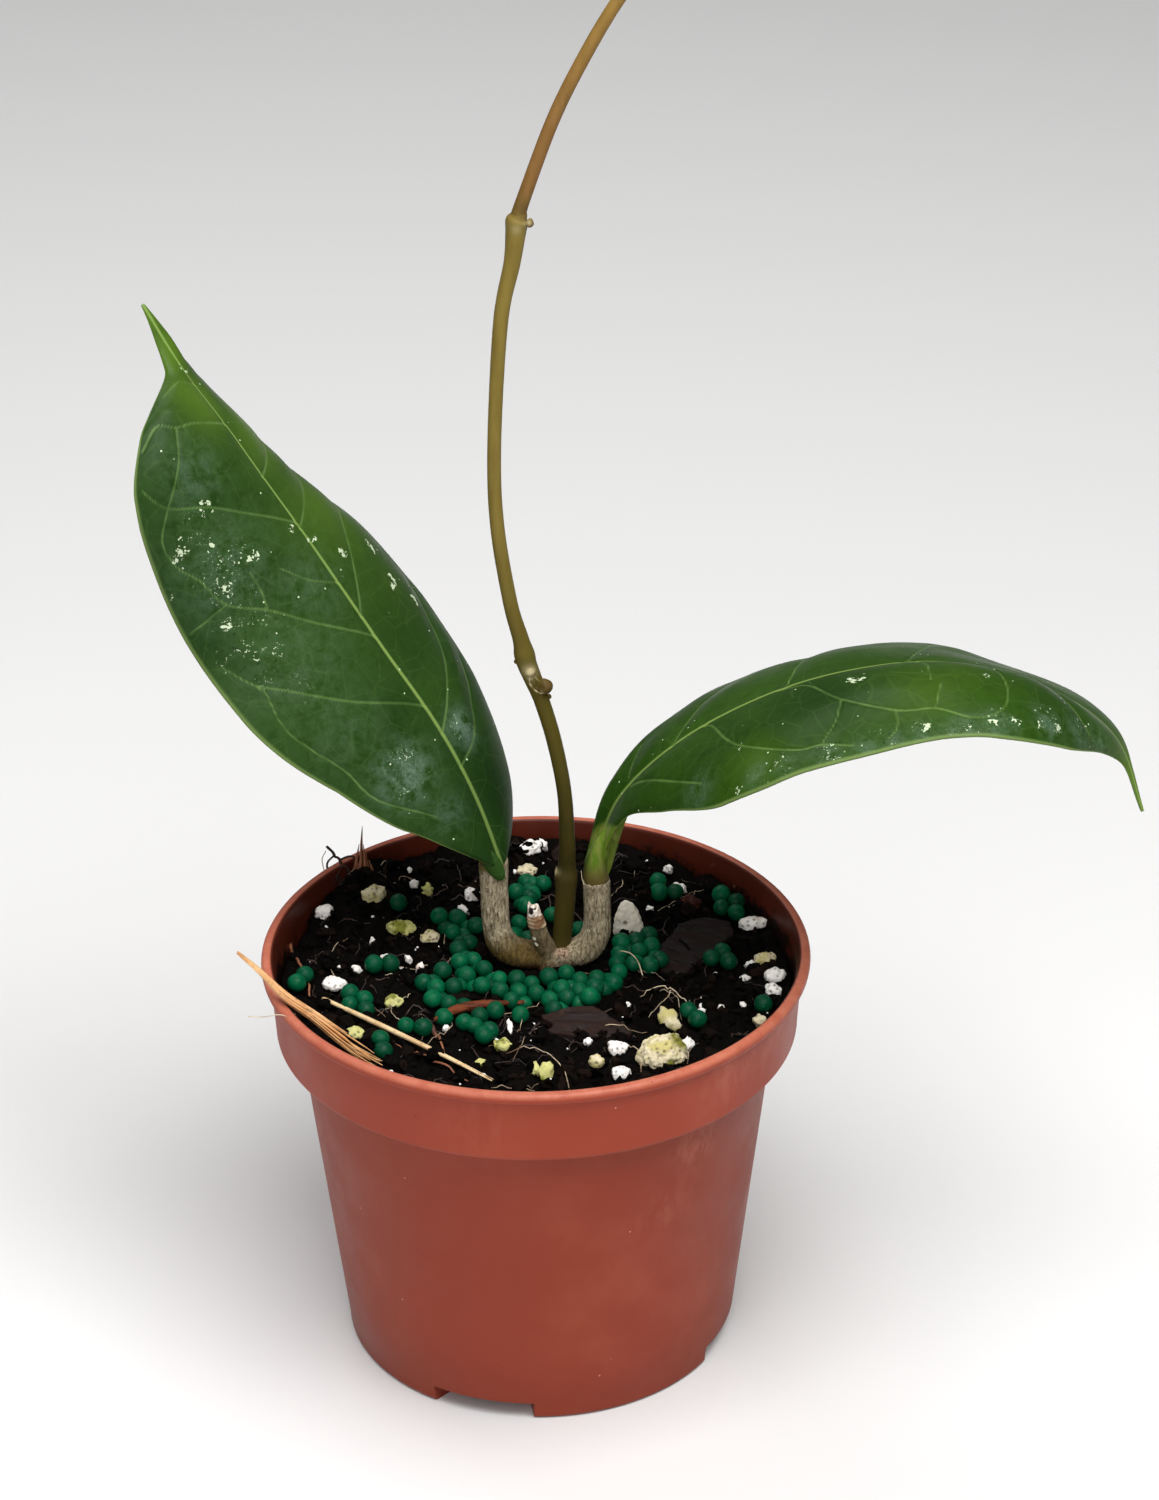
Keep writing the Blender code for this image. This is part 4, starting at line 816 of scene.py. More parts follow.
class Blade:
    """A blade's form: its midrib, and its width, roll and curl along it."""

    def __init__(self, midrib, stations, half_width, roll, curl_plus, curl_minus):
        self.midrib = midrib
        self.stations = stations
        self.half_width = half_width
        self.roll = roll
        self.curl_plus = curl_plus
        self.curl_minus = curl_minus
        self.rows = {}
        steps = [curve_through(midrib, k / 60) for k in range(61)]
        self.length = sum((b - a).length for a, b in zip(steps[:-1], steps[1:]))

    def width(self, share):
        return value_at(self.stations, self.half_width, share)

    def frame(self, share):
        """A point of the midrib, the way across the blade there, and the way its upper side faces."""
        here = curve_through(self.midrib, share)
        ahead = curve_through(self.midrib, min(share + 0.004, 1.0)) - curve_through(self.midrib,
                                                                                   max(share - 0.004, 0.0))
        ahead.normalize()
        side = ahead.cross(FACING).normalized()
        face = side.cross(ahead)
        angle = math.radians(value_at(*self.roll, share))
        across = math.cos(angle) * side + math.sin(angle) * face
        facing = math.cos(angle) * face - math.sin(angle) * side
        return here, across, facing

    def row(self, share):
        if share not in self.rows:
            bends = [math.radians(value_at(*curl, share) - FOLD_AT_MIDRIB)
                     for curl in (self.curl_plus, self.curl_minus)]
            self.rows[share] = (*self.frame(share), self.width(share), *bends)
        return self.rows[share]

    def point(self, share, place):
        """A point of the upper side; place runs from -1 at one edge to +1 at the other."""
        here, across, facing, width, bend_plus, bend_minus = self.row(share)
        bend = bend_plus if place >= 0 else bend_minus
        if abs(bend) < 0.001:
            bend = 0.001
        start = math.radians(FOLD_AT_MIDRIB)
        reach = abs(place)
        out = width * (math.sin(start + bend * reach) - math.sin(start)) / bend
        rise = width * (math.cos(start) - math.cos(start + bend * reach)) / bend
        return here + math.copysign(1.0, place) * out * across + rise * facing

    def flat(self, share, place):
        """The same point on the blade pressed flat, in millimetres."""
        return (share * self.length, place * self.row(share)[3])


LEFT_BLADE = Blade(
    [(-7.1, 4.3, 112.8), (-13.0, 10.5, 127.5), (-21.5, 14.5, 143.5), (-31.5, 18.0, 158.0),
     (-41.5, 22.0, 173.0), (-51.5, 25.5, 187.5), (-61.5, 29.0, 202.0), (-72.5, 33.0, 216.5),
     (-81.5, 36.5, 231.5)],
    [0.0, 0.07, 0.15, 0.28, 0.42, 0.56, 0.70, 0.79, 0.85, 0.90, 0.95, 1.0],
    [1.3, 12.5, 21.5, 30.5, 37.0, 38.0, 35.5, 32.0, 22.5, 4.2, 1.8, 0.35],
    ([0.0, 0.25, 0.50, 0.75, 0.86, 0.94, 1.0], [-41.0, -40.0, -48.0, -68.0, -74.0, -35.0, -20.0]),
    ([0.0, 0.33, 0.67, 0.88, 1.0], [-40.0, -53.0, -56.0, -36.0, -5.0]),
    ([0.0, 0.33, 0.67, 0.88, 1.0], [-29.0, -35.0, -88.0, -60.0, -5.0]))
RIGHT_BLADE = Blade(
    [(12.2, 6.5, 110.8), (18.2, 5.0, 129.5), (32.0, 3.0, 144.5), (48.5, 1.5, 155.5), (67.0, -0.5, 162.5),
     (87.0, -2.0, 165.0), (106.0, -4.0, 161.0), (122.5, -5.5, 149.5), (130.0, -7.5, 131.5)],
    [0.0, 0.03, 0.06, 0.12, 0.20, 0.30, 0.42, 0.56, 0.70, 0.80, 0.87, 0.94, 1.0],
    [2.2, 2.5, 3.2, 6.2, 16.5, 29.5, 34.5, 33.5, 31.5, 21.5, 9.6, 1.2, 0.3],
    ([0.0, 0.12, 0.25, 0.45, 0.70, 0.88, 1.0], [46.0, 58.0, 67.0, 71.0, 88.0, 73.0, 34.0]),
    ([0.0, 0.20, 0.40, 0.67, 0.88, 1.0], [5.0, -26.0, -27.0, -58.0, -35.0, -5.0]),
    ([0.0, 0.20, 0.40, 0.67, 0.88, 1.0], [30.0, -20.0, -34.0, 4.0, -10.0, -5.0]))

# half widths of a vein where it starts and where it ends
SIDE_VEIN = (0.31, 0.25)
CROSS_VEIN = (0.26, 0.22)
# routes of the veins over the blade, as (share of the midrib, place across)
LEFT_VEINS = [
    (SIDE_VEIN, [(0.275, 0.0), (0.35, -0.4), (0.425, -0.7), (0.456, -0.82), (0.506, -0.9)]),
    (SIDE_VEIN, [(0.405, 0.0), (0.475, -0.3), (0.537, -0.5), (0.581, -0.68), (0.631, -0.75), (0.669, -0.85),
                 (0.713, -0.88), (0.75, -0.78)]),
    (SIDE_VEIN, [(0.61, 0.0), (0.669, -0.3), (0.713, -0.52), (0.75, -0.78), (0.794, -0.93)]),
    (SIDE_VEIN, [(0.79, 0.0), (0.82, -0.35), (0.831, -0.55), (0.85, -0.8), (0.835, -0.95)]),
    (CROSS_VEIN, [(0.86, 0.0), (0.878, -0.4), (0.875, -0.8)]),
    (CROSS_VEIN, [(0.12, -0.6), (0.2, -0.85), (0.281, -0.82), (0.375, -0.85), (0.43, -0.8), (0.456, -0.82)]),
    (CROSS_VEIN, [(0.5, 0.0), (0.531, -0.17), (0.575, -0.3)]),
    (CROSS_VEIN, [(0.537, -0.5), (0.569, -0.47), (0.6, -0.47)]),
    (CROSS_VEIN, [(0.575, -0.95), (0.581, -0.7)]),
    (CROSS_VEIN, [(0.75, -0.78), (0.775, -0.68), (0.8, -0.6), (0.831, -0.57)]),
    (SIDE_VEIN, [(0.169, 0.0), (0.194, 0.33), (0.23, 0.5), (0.28, 0.74)]),
    (SIDE_VEIN, [(0.225, 0.0), (0.269, 0.28), (0.312, 0.5), (0.369, 0.62), (0.42, 0.75)]),
    (SIDE_VEIN, [(0.44, 0.0), (0.513, 0.23), (0.556, 0.43), (0.575, 0.7), (0.6, 0.85)]),
    (SIDE_VEIN, [(0.6, 0.0), (0.631, 0.3), (0.65, 0.5), (0.69, 0.7)]),
    (SIDE_VEIN, [(0.695, 0.0), (0.713, 0.28), (0.73, 0.5), (0.77, 0.7)]),
]
RIGHT_VEINS = [
    (SIDE_VEIN,
     [(0.40, 0.0), (0.444, 0.1), (0.494, 0.45), (0.562, 0.7), (0.613, 0.75), (0.663, 0.85), (0.695, 0.8),
                 (0.706, 0.62), (0.694, 0.25), (0.67, 0.0)]),
    (CROSS_VEIN, [(0.494, 0.45), (0.488, 0.65), (0.469, 0.82)]),
    (CROSS_VEIN, [(0.562, 0.7), (0.562, 0.85), (0.55, 0.92)]),
    (SIDE_VEIN,
     [(0.285, 0.0), (0.3, 0.1), (0.325, 0.4), (0.356, 0.58), (0.431, 0.8), (0.469, 0.83), (0.506, 0.9)]),
    (CROSS_VEIN, [(0.585, 0.0), (0.6, 0.12), (0.606, 0.43)]),
    (CROSS_VEIN, [(0.619, 0.5), (0.613, 0.75)]),
    (SIDE_VEIN, [(0.15, 0.1), (0.169, 0.23), (0.22, 0.55), (0.275, 0.73)]),
    (SIDE_VEIN, [(0.40, 0.0), (0.413, -0.05), (0.42, -0.5), (0.425, -0.9)]),
    (SIDE_VEIN, [(0.23, 0.0), (0.26, -0.25), (0.281, -0.47), (0.31, -0.75)]),
    (CROSS_VEIN, [(0.15, -0.2), (0.156, -0.38), (0.175, -0.82)]),
    (SIDE_VEIN, [(0.57, 0.0), (0.581, -0.15), (0.606, -0.9)]),
    (SIDE_VEIN, [(0.76, 0.0), (0.80, 0.4), (0.83, 0.7)]),
]

# patches on the blade, as (share of the midrib, place across, reach in millimetres, strength); the sunny
# patches are painted sunlight, except at the tips where they give the tip's own yellow-green, and the shade
# patches are painted shade
LEFT_PATCHES = {
    "flecks": [(0.688, -0.77, 2.2, 1.0), (0.675, -0.83, 1.2, 0.9), (0.619, -0.42, 1.9, 1.0),
               (0.606, -0.07, 1.6, 1.0), (0.50, 0.48, 1.7, 1.0), (0.444, 0.43, 2.4, 1.0),
               (0.525, 0.18, 1.6, 0.9), (0.715, -0.55, 1.9, 0.9), (0.66, -0.62, 1.5, 0.8),
               (0.575, 0.02, 1.3, 0.9), (0.40, 0.55, 1.3, 0.9), (0.56, -0.74, 1.5, 0.9),
               (0.60, -0.62, 1.6, 0.8), (0.64, -0.95, 1.2, 0.8), (0.89, 0.1, 1.3, 0.9)],
    "film_and_sheen": [(0.213, -0.52, 6.5, 1.0), (0.213, 0.2, 3.8, 1.0), (0.525, -0.2, 9.0, 0.22),
             (0.763, -0.55, 7.0, 0.34), (0.45, -0.55, 12.0, 0.20), (0.62, -0.6, 11.0, 0.30),
             (0.33, -0.6, 10.0, 0.18), (0.12, -0.5, 5.0, 0.35)],
    "wet_and_glints": [(0.619, -0.6, 9.0, 1.0), (0.506, -0.72, 10.0, 1.0), (0.7, -0.6, 7.0, 0.7),
            (0.42, -0.6, 8.0, 0.5)],
    "sunny": [(0.45, 0.35, 14.0, 0.25), (0.60, 0.35, 14.0, 0.6), (0.75, 0.3, 11.0, 0.8),
              (0.84, -0.1, 8.0, 0.9), (0.92, 0.0, 7.0, 1.0), (1.0, 0.0, 9.0, 1.0), (0.28, 0.3, 9.0, 0.15)],
    "shade": [(0.10, 0.4, 16.0, 1.0), (0.02, 0.0, 12.0, 0.9), (0.38, 0.3, 14.0, 0.5), (0.25, 0.6, 14.0, 0.6),
              (0.55, -0.95, 6.0, 0.5), (0.30, -0.2, 8.0, 0.4)],
}
RIGHT_PATCHES = {
    "flecks": [(0.513, 0.25, 2.0, 1.0), (0.675, 0.38, 1.6, 0.9), (0.35, 0.55, 1.4, 0.9), (0.6, 0.9, 1.5, 0.8),
               (0.66, 0.93, 1.2, 0.9), (0.69, 0.89, 1.3, 0.9), (0.72, 0.86, 1.3, 0.9), (0.75, 0.82, 1.2, 0.9),
               (0.775, 0.79, 1.0, 0.9), (0.33, 0.93, 1.3, 0.9), (0.47, 0.92, 1.2, 0.8)],
    "film_and_sheen": [(0.27, 0.8, 4.0, 0.45), (0.475, 0.93, 3.0, 0.45), (0.65, 0.97, 3.6, 0.6), (0.70, 0.9, 3.4, 0.6),
             (0.763, 0.8, 3.6, 0.6), (0.81, 0.75, 3.2, 0.6), (0.85, 0.7, 3.4, 0.5), (0.37, 0.9, 3.4, 0.45),
             (0.42, 0.94, 3.0, 0.45), (0.52, 0.96, 3.0, 0.45), (0.56, 0.97, 3.0, 0.5),
             (0.60, 0.97, 3.2, 0.5)],
    "wet_and_glints": [(0.65, 0.92, 4.0, 0.9), (0.70, 0.85, 4.0, 0.9), (0.76, 0.75, 4.0, 0.9), (0.42, 0.88, 4.0, 0.9),
            (0.48, 0.9, 4.0, 0.9), (0.54, 0.92, 4.0, 0.9), (0.60, 0.93, 4.0, 0.9), (0.82, 0.7, 4.0, 0.9)],
    "sunny": [(0.6, 0.58, 8.0, 0.25), (0.375, 0.75, 7.0, 0.3), (0.95, 0.0, 8.0, 1.0), (1.0, 0.0, 10.0, 1.0),
              (0.62, 0.35, 12.0, 0.15)],
    "shade": [(0.04, -0.4, 9.0, 0.9), (0.14, -0.5, 12.0, 0.45), (0.30, -0.5, 14.0, 0.2),
              (0.46, 0.35, 14.0, 0.95), (0.34, 0.4, 12.0, 0.4), (0.75, 0.5, 12.0, 0.4)],
}


def nearest_on(route, places):
    """For each flat place: the distance to the route, and how far along the route that is."""
    distance = np.full(len(places), 1e3)
    along = np.zeros(len(places))
    spans = len(route) - 1
    for k in range(spans):
        start, run = route[k], route[k + 1] - route[k]
        share = np.clip(((places - start) @ run) / (run @ run), 0.0, 1.0)
        away = np.hypot(*(places - start - share[:, None] * run).T)
        closer = away < distance
        distance[closer] = away[closer]
        along[closer] = (k + share[closer]) / spans
    return distance, along


def vein_marks(blade, veins, places):
    """The veins' strength, 1 on a vein's line and 0 clear of it, and the distance to the nearest vein."""
    strength = np.zeros(len(places))
    nearest = np.full(len(places), 1e3)
    for widths, route in veins:
        points = [(share, place, 0.0) for share, place in route]
        steps = 5 * (len(route) - 1)
        line = np.array([blade.flat(*curve_through(points, k / steps)[:2]) for k in range(steps + 1)])
        distance, along = nearest_on(line, places)
        half = widths[0] + (widths[1] - widths[0]) * along
        strength = np.maximum(strength, 1.0 - distance / (2.2 * half))
        nearest = np.minimum(nearest, distance)
    return np.clip(strength, 0.0, 1.0), nearest


def patch_marks(blade, patches, places):
    """How strongly each flat place belongs to one of the patches, 0 to 1."""
    marks = np.zeros(len(places))
    for share, place, reach, strength in patches:
        centre = np.array(blade.flat(share, place))
        away = np.hypot(*(places - centre).T)
        marks = np.maximum(marks, strength * np.exp(-(away / reach) ** 2))
    return marks


def tongue(top, tip, half_width, half_thick):
    """A rounded lobe of the blade that hangs in front of the joint, with its margin along the left side."""
    top, tip = Vector(top), Vector(tip)
    along = (tip - top) / 2
    across = along.cross(Vector((0.0, 1.0, 0.0))).normalized()
    outward = along.cross(across).normalized()
    bm = bmesh.new()
    edge = bm.verts.layers.float.new("edge")
    share = bm.verts.layers.float.new("share")
    bmesh.ops.create_icosphere(bm, subdivisions=5, radius=1.0)
    for vert in bm.verts:
        u, v, w = vert.co.x, vert.co.z, vert.co.y
        vert.co = (top + tip) / 2 + along * v + across * (u * half_width) + outward * (w * half_thick)
        vert[share] = 0.1
        left = vert.co.x - ((top + tip) / 2 + along * v).x
        vert[edge] = min(1.0, math.hypot(u, v)) if left < 0.0 and math.hypot(u, v) > 0.9 else 0.0
    return shaped("tongue", bm)


def leaf_object(name, blade, veins, patches, foot, foot_radii, keel_radii, extras, lit_band, seed):
    """A whole leaf: its blade with relief and thickness, and the foot that sits on its petiole."""
    bm = bmesh.new()
    bmesh.ops.create_grid(bm, x_segments=BLADE_CELLS_ACROSS, y_segments=BLADE_CELLS_ALONG, size=1.0)
    bm.verts.ensure_lookup_table()
    shares = [min(max((vert.co.y + 1.0) / 2, 0.0), 1.0) for vert in bm.verts]
    sides = [math.copysign(abs(vert.co.x) ** MARGIN_SQUEEZE, vert.co.x) for vert in bm.verts]
    places = np.array([blade.flat(share, side) for share, side in zip(shares, sides)])
    for vert, share, side in zip(bm.verts, shares, sides):
        vert.co = blade.point(share, side)
    middle = min(bm.faces, key=lambda face: (face.calc_center_median() - blade.point(0.5, 0.3)).length)
    bm.normal_update()
    if middle.normal.dot(blade.frame(0.5)[2]) < 0:
        bmesh.ops.reverse_faces(bm, faces=bm.faces)
        bm.normal_update()

    strength, nearest = vein_marks(blade, veins, places)
    share_of = np.array(shares)
    midrib_half = 0.50 - 0.20 * np.clip(share_of / 0.85, 0.0, 1.0)
    midrib = np.clip(1.0 - np.abs(places[:, 1]) / (2.2 * midrib_half), 0.0, 1.0)
    nearest = np.minimum(nearest, np.abs(places[:, 1]))
    edge = np.abs(np.array(sides))
    inside = np.clip((1.0 - edge) * 6.0, 0.0, 1.0)
    rise = QUILT_RISE * (1.0 - np.exp(-(nearest / VEIN_REACH) ** 2)) * inside
    rise -= VEIN_SINK * np.clip(1.6 * strength, 0.0, 1.0)
    trough = np.exp(-(places[:, 1] / MIDRIB_TROUGH_REACH) ** 2)
    rise -= MIDRIB_TROUGH * trough * np.clip(1.0 - share_of, 0.0, 1.0)
    marks = {"vein": strength, "midrib": midrib, "edge": edge, "share": share_of,
             "side": np.array(sides) * 0.5 + 0.5, "under": np.zeros(len(edge))}
    for kind, spots in patches.items():
        marks[kind] = patch_marks(blade, spots, places)
    for vert, lift in zip(bm.verts, rise):
        wave = noise.noise(vert.co * 0.055 + Vector((seed, 0.0, 0.0)))
        vert.co += vert.normal * (float(lift) + BLADE_WAVE * wave)

    half_widths = np.array([blade.row(share)[3] for share in shares])
    thick = BLADE_THICK_EDGE + (BLADE_THICK_MIDDLE - BLADE_THICK_EDGE) * (1.0 - edge ** 2) * np.minimum(
        1.0, half_widths / 12.0)
    keel = np.array([value_at(KEEL_SHARES, keel_radii, share) for share in shares])
    ridge = np.sqrt(np.clip(keel ** 2 - places[:, 1] ** 2, 0.0, None))
    thick = np.maximum(thick, 0.55 + 0.62 * keel + ridge * (ridge > 0)
                       - 0.9) * (ridge > 0) + thick * (ridge <= 0)
    deepest = float(thick.max())
    mesh = bpy.data.meshes.new(name)
    bmesh.ops.scale(bm, vec=(MM, MM, MM), verts=bm.verts)
    bm.to_mesh(mesh)
    bm.free()
    for kind, values in marks.items():
        mesh.attributes.new(kind, "FLOAT", "POINT").data.foreach_set("value", values.astype(np.float32))
    leaf = new_object(name, mesh)
    group = leaf.vertex_groups.new(name="thickness")
    for index, depth in enumerate(thick):
        group.add([index], float(depth) / deepest, "REPLACE")
    wall = leaf.modifiers.new("thickness", "SOLIDIFY")
    wall.thickness = deepest * MM
    wall.offset = -1.0
    wall.use_even_offset = False
    wall.vertex_group = "thickness"
    settled(leaf)
    under = np.zeros(len(leaf.data.vertices), np.float32)
    under[len(edge):] = 1.0
    leaf.data.attributes["under"].data.foreach_set("value", under)
    leaf.vertex_groups.clear()

    joint = strands(name + "_foot", [smooth_route(foot, foot_radii, 40)], 28)
    joint.data.attributes.new("stalk", "FLOAT", "POINT").data.foreach_set(
        "value", np.ones(len(joint.data.vertices), np.float32))
    combined(leaf, [joint] + extras, "UNION")
    lit = leaf.data.attributes.new("lit_band", "FLOAT", "POINT").data
    for vert in leaf.data.vertices:
        place = vert.co / MM
        if lit_band and lit_band[0][0] < place.z < lit_band[-1][0]:
            start = value_at([height for height, x in lit_band], [x for height, x in lit_band], place.z)
            fading = min(1.0, (lit_band[-1][0] - place.z) / BAND_FADE)
            lit[vert.index].value = fading * clamped((place.x - start) / BAND_EDGE)
    leaf.data.shade_smooth()
    return leaf


LEFT_FOOT = [(-9.1, 7.4, LEFT_JOINT + 2.3), (-9.1, 7.7, 113.5), (-9.6, 8.7, 116.0), (-10.8, 10.2, 119.5)]
LEFT_FOOT_RADII = [2.75, 2.6, 1.9, 0.5]
RIGHT_FOOT = [(13.3, 6.5, RIGHT_JOINT + 1.5), (13.1, 6.3, 110.0), (13.2, 6.0, 113.0), (14.2, 5.8, 117.0),
              (15.8, 5.6, 121.0)]
RIGHT_FOOT_RADII = [2.85, 2.65, 2.2, 1.5, 0.5]
# the pale green band on the right of the right leaf's foot, a painted highlight with the stalk's ribs: where
# it begins, as (height, x)
RIGHT_BAND = [(108.5, 10.4), (111.5, 10.5), (114.3, 10.8), (118.5, 11.9), (121.5, 13.9), (123.5, 16.4),
              (124.8, 19.2), (126.3, 22.0), (128.5, 25.0)]
LEFT_KEEL = [2.7, 2.5, 2.1, 1.7, 1.5, 1.35, 1.2, 1.1, 1.0, 0.8, 0.5]
RIGHT_KEEL = [2.7, 2.7, 2.6, 2.2, 1.9, 1.5, 1.3, 1.15, 1.0, 0.8, 0.5]
left_lobe = tongue((-11.2, 4.9, 116.6), (-7.1, 3.3, 109.7), 1.95, 0.75)
left_leaf = leaf_object("leaf_left_waxy", LEFT_BLADE, LEFT_VEINS, LEFT_PATCHES, LEFT_FOOT, LEFT_FOOT_RADII,
                        LEFT_KEEL, [left_lobe], [], 3.0)
right_leaf = leaf_object("leaf_right_waxy", RIGHT_BLADE, RIGHT_VEINS, RIGHT_PATCHES, RIGHT_FOOT,
                         RIGHT_FOOT_RADII, RIGHT_KEEL, [], RIGHT_BAND, 8.0)


def leaf_finish(name, tones, midrib_colour, vein_colour, stalk_colour, rims, foot_height):
    """A leaf's skin: its greens first, then veins, flecks and margin, and last its foot and underside."""
    wax = Finish(name, 0.36, IOR=1.46, Specular_IOR_Level=0.1)
    dark, light, sunny, deep = tones
    green = wax.blend(wax.grain(55.0, 4.0, 0.6), dark, light)
    green = wax.blend(wax.fade(wax.grain(520.0, 4.0, 0.65), 0.35, 0.75, 0.0, 0.45), green, light)
    green = wax.blend(wax.fade(wax.grain(260.0, 3.0, 0.6), 0.45, 0.25, 0.0, 0.40), green, dark)
    # painted sunlight, and at the tip the tip's own yellow-green; then painted shade
    green = wax.blend(wax.times(wax.painted("sunny"), 0.85), green, sunny)
    green = wax.blend(wax.times(wax.painted("shade"), 0.8), green, deep)
    net = wax.fade(wax.cells(150.0, "DISTANCE_TO_EDGE"), 0.03, 0.0, 0.0, 0.09)
    green = wax.blend(net, green, vein_colour)
    # a dried film on the blade, bluish-grey, partly painted sheen
    film_and_sheen = wax.times(wax.painted("film_and_sheen"), wax.fade(wax.grain(260.0, 6.0, 0.75), 0.36, 0.62))
    film_and_sheen = wax.times(film_and_sheen, wax.fade(wax.grain(1300.0, 4.0, 0.7), 0.25, 0.75, 0.45, 1.0))
    green = wax.blend(wax.times(film_and_sheen, 0.62), green, colour(120, 144, 128))
    drops = wax.times(wax.fade(wax.cells(760.0), 0.28, 0.18), wax.painted("wet_and_glints"))
    green = wax.blend(wax.times(drops, 0.6), green, colour(16, 30, 12))
    faint = wax.fade(wax.grain(130.0, 3.0, 0.6), 0.30, 0.70, 0.30, 0.72)
    drawn = wax.times(wax.fade(wax.painted("vein"), 0.30, 0.92), faint)
    green = wax.blend(drawn, green, vein_colour)
    rib = wax.times(wax.fade(wax.painted("midrib"), 0.35, 0.80),
                    wax.fade(wax.painted("share"), 0.0, 0.3, 0.5, 0.8))
    green = wax.blend(rib, green, midrib_colour)
    broken = wax.maths("ADD", wax.cells(560.0), wax.fade(wax.grain(1700.0, 2.0), 0.3, 0.7, -0.26, 0.26))
    ragged = wax.maths("ADD", wax.painted("flecks"), wax.fade(wax.grain(480.0, 2.0), 0.3, 0.7, -0.30, 0.30))
    blob = wax.times(wax.fade(broken, 0.46, 0.40), wax.fade(ragged, 0.46, 0.56))
    dust = wax.times(wax.fade(wax.cells(340.0), 0.085, 0.06), wax.fade(wax.grain(120.0, 1.0), 0.50, 0.56))
    wet_and_glints = wax.fade(wax.maths("MAXIMUM", wax.painted("wet_and_glints"), wax.painted("film_and_sheen")), 0.3, 0.8)
    # glints: painted highlights on the wet and filmed places
    glint = wax.times(wax.fade(wax.grain(1400.0, 3.0, 0.65), 0.615, 0.645), wet_and_glints)
    glint = wax.times(glint, wax.fade(wax.grain(210.0, 2.0), 0.47, 0.56))
    # pale flecks and dust, and painted glints
    flecks_and_glints = wax.maths("MAXIMUM", blob, wax.maths("MAXIMUM", dust, glint))
    green = wax.blend(wax.times(flecks_and_glints, 0.88), green, colour(196, 210, 176))
    rim = wax.fade(wax.painted("edge"), 0.965, 0.995, 0.0, 0.75)
    green = wax.blend(rim, green, wax.blend(wax.fade(wax.painted("side"), 0.4, 0.6), *rims))
    green = wax.blend(wax.painted("stalk"), green, wax.blend(wax.grain(300.0, 3.0), deep, dark))
    ribs = wax.fade(wax.grain(900.0, 3.0, 0.6, (1.0, 1.0, 0.22)), 0.35, 0.65)
    # the band on the foot: painted light, with ribs
    green = wax.blend(wax.painted("lit_band"), green, wax.blend(ribs, sunny, stalk_colour))
    brown = wax.times(wax.fade(wax.axis("Z"), foot_height + 0.0035, foot_height - 0.0022),
                      wax.painted("stalk"))
    green = wax.blend(brown, green, colour(92, 80, 42))
    below = wax.blend(wax.grain(70.0, 3.0), colour(72, 96, 44), colour(96, 120, 62))
    below = wax.blend(wax.fade(wax.painted("vein"), 0.3, 0.8, 0.0, 0.5), below, colour(58, 80, 36))
    turned_under = wax.fade(wax.maths("SUBTRACT", wax.painted("under"), wax.painted("lit_band")), 0.0, 1.0)
    green = wax.blend(turned_under, green, below)
    wax.feed("Base Color", green)
    gloss = wax.maths("ADD", wax.times(film_and_sheen, 0.20), wax.fade(wax.grain(90.0, 4.0), 0.3, 0.7, 0.32, 0.44))
    wax.feed("Roughness", wax.maths("ADD", gloss, wax.times(wax.painted("under"), 0.2)))
    wax.relief(wax.grain(520.0, 4.0, 0.65), 0.06)
    return wax


PALE_RIM = colour(112, 134, 74)
DARK_RIM = colour(46, 32, 26)
left_tones = (colour(22, 45, 12), colour(46, 74, 27), colour(78, 106, 30), colour(14, 36, 8))
left_wax = leaf_finish("leaf_green_left", left_tones, colour(122, 148, 76), colour(94, 124, 66),
                       colour(74, 92, 38), (PALE_RIM, DARK_RIM), 0.1145)
right_tones = (colour(24, 49, 8), colour(46, 76, 16), colour(84, 112, 28), colour(16, 42, 5))
right_wax = leaf_finish("leaf_green_right", right_tones, colour(120, 144, 72), colour(96, 124, 62),
                        colour(114, 124, 56), (DARK_RIM, PALE_RIM), 0.1105)
placed(left_leaf, "leaf_green", left_wax, "leaf_left")
placed(right_leaf, "leaf_green", right_wax, "leaf_right")


# Feed pellets: round prills of slow feed in a green resin coat, heaped round the stem and strewn about.
# Each is a little uneven and finely crackled, and lies loose on the mix or on its neighbours.
PELLET_RADIUS = 2.05
CAD_PELLET_RADIUS = 1.995
PELLET_ROOM = 0.93
STEM_FOOT = ((-8.6, 6.5), (13.2, 6.5), 3.1)
STUB_FOOT = (2.0, 4.8, 2.3)
STEM_FRONT_ROOM = 0.3
GAP_LEAST = 2.2
GAP_MOST = 3.1
LOWER_LAYER_FRONT = -13.0
LOWER_LAYER_APART = 1.1
LOWER_LAYER_HEIGHT = 0.1
HEAP_TURNS = 70
SIDEWAYS_PUSH = 0.85
REST_HEIGHT = 0.80
REST_HEIGHT_LEAST = 0.72
PELLET_SIZES = (0.92, 1.06)
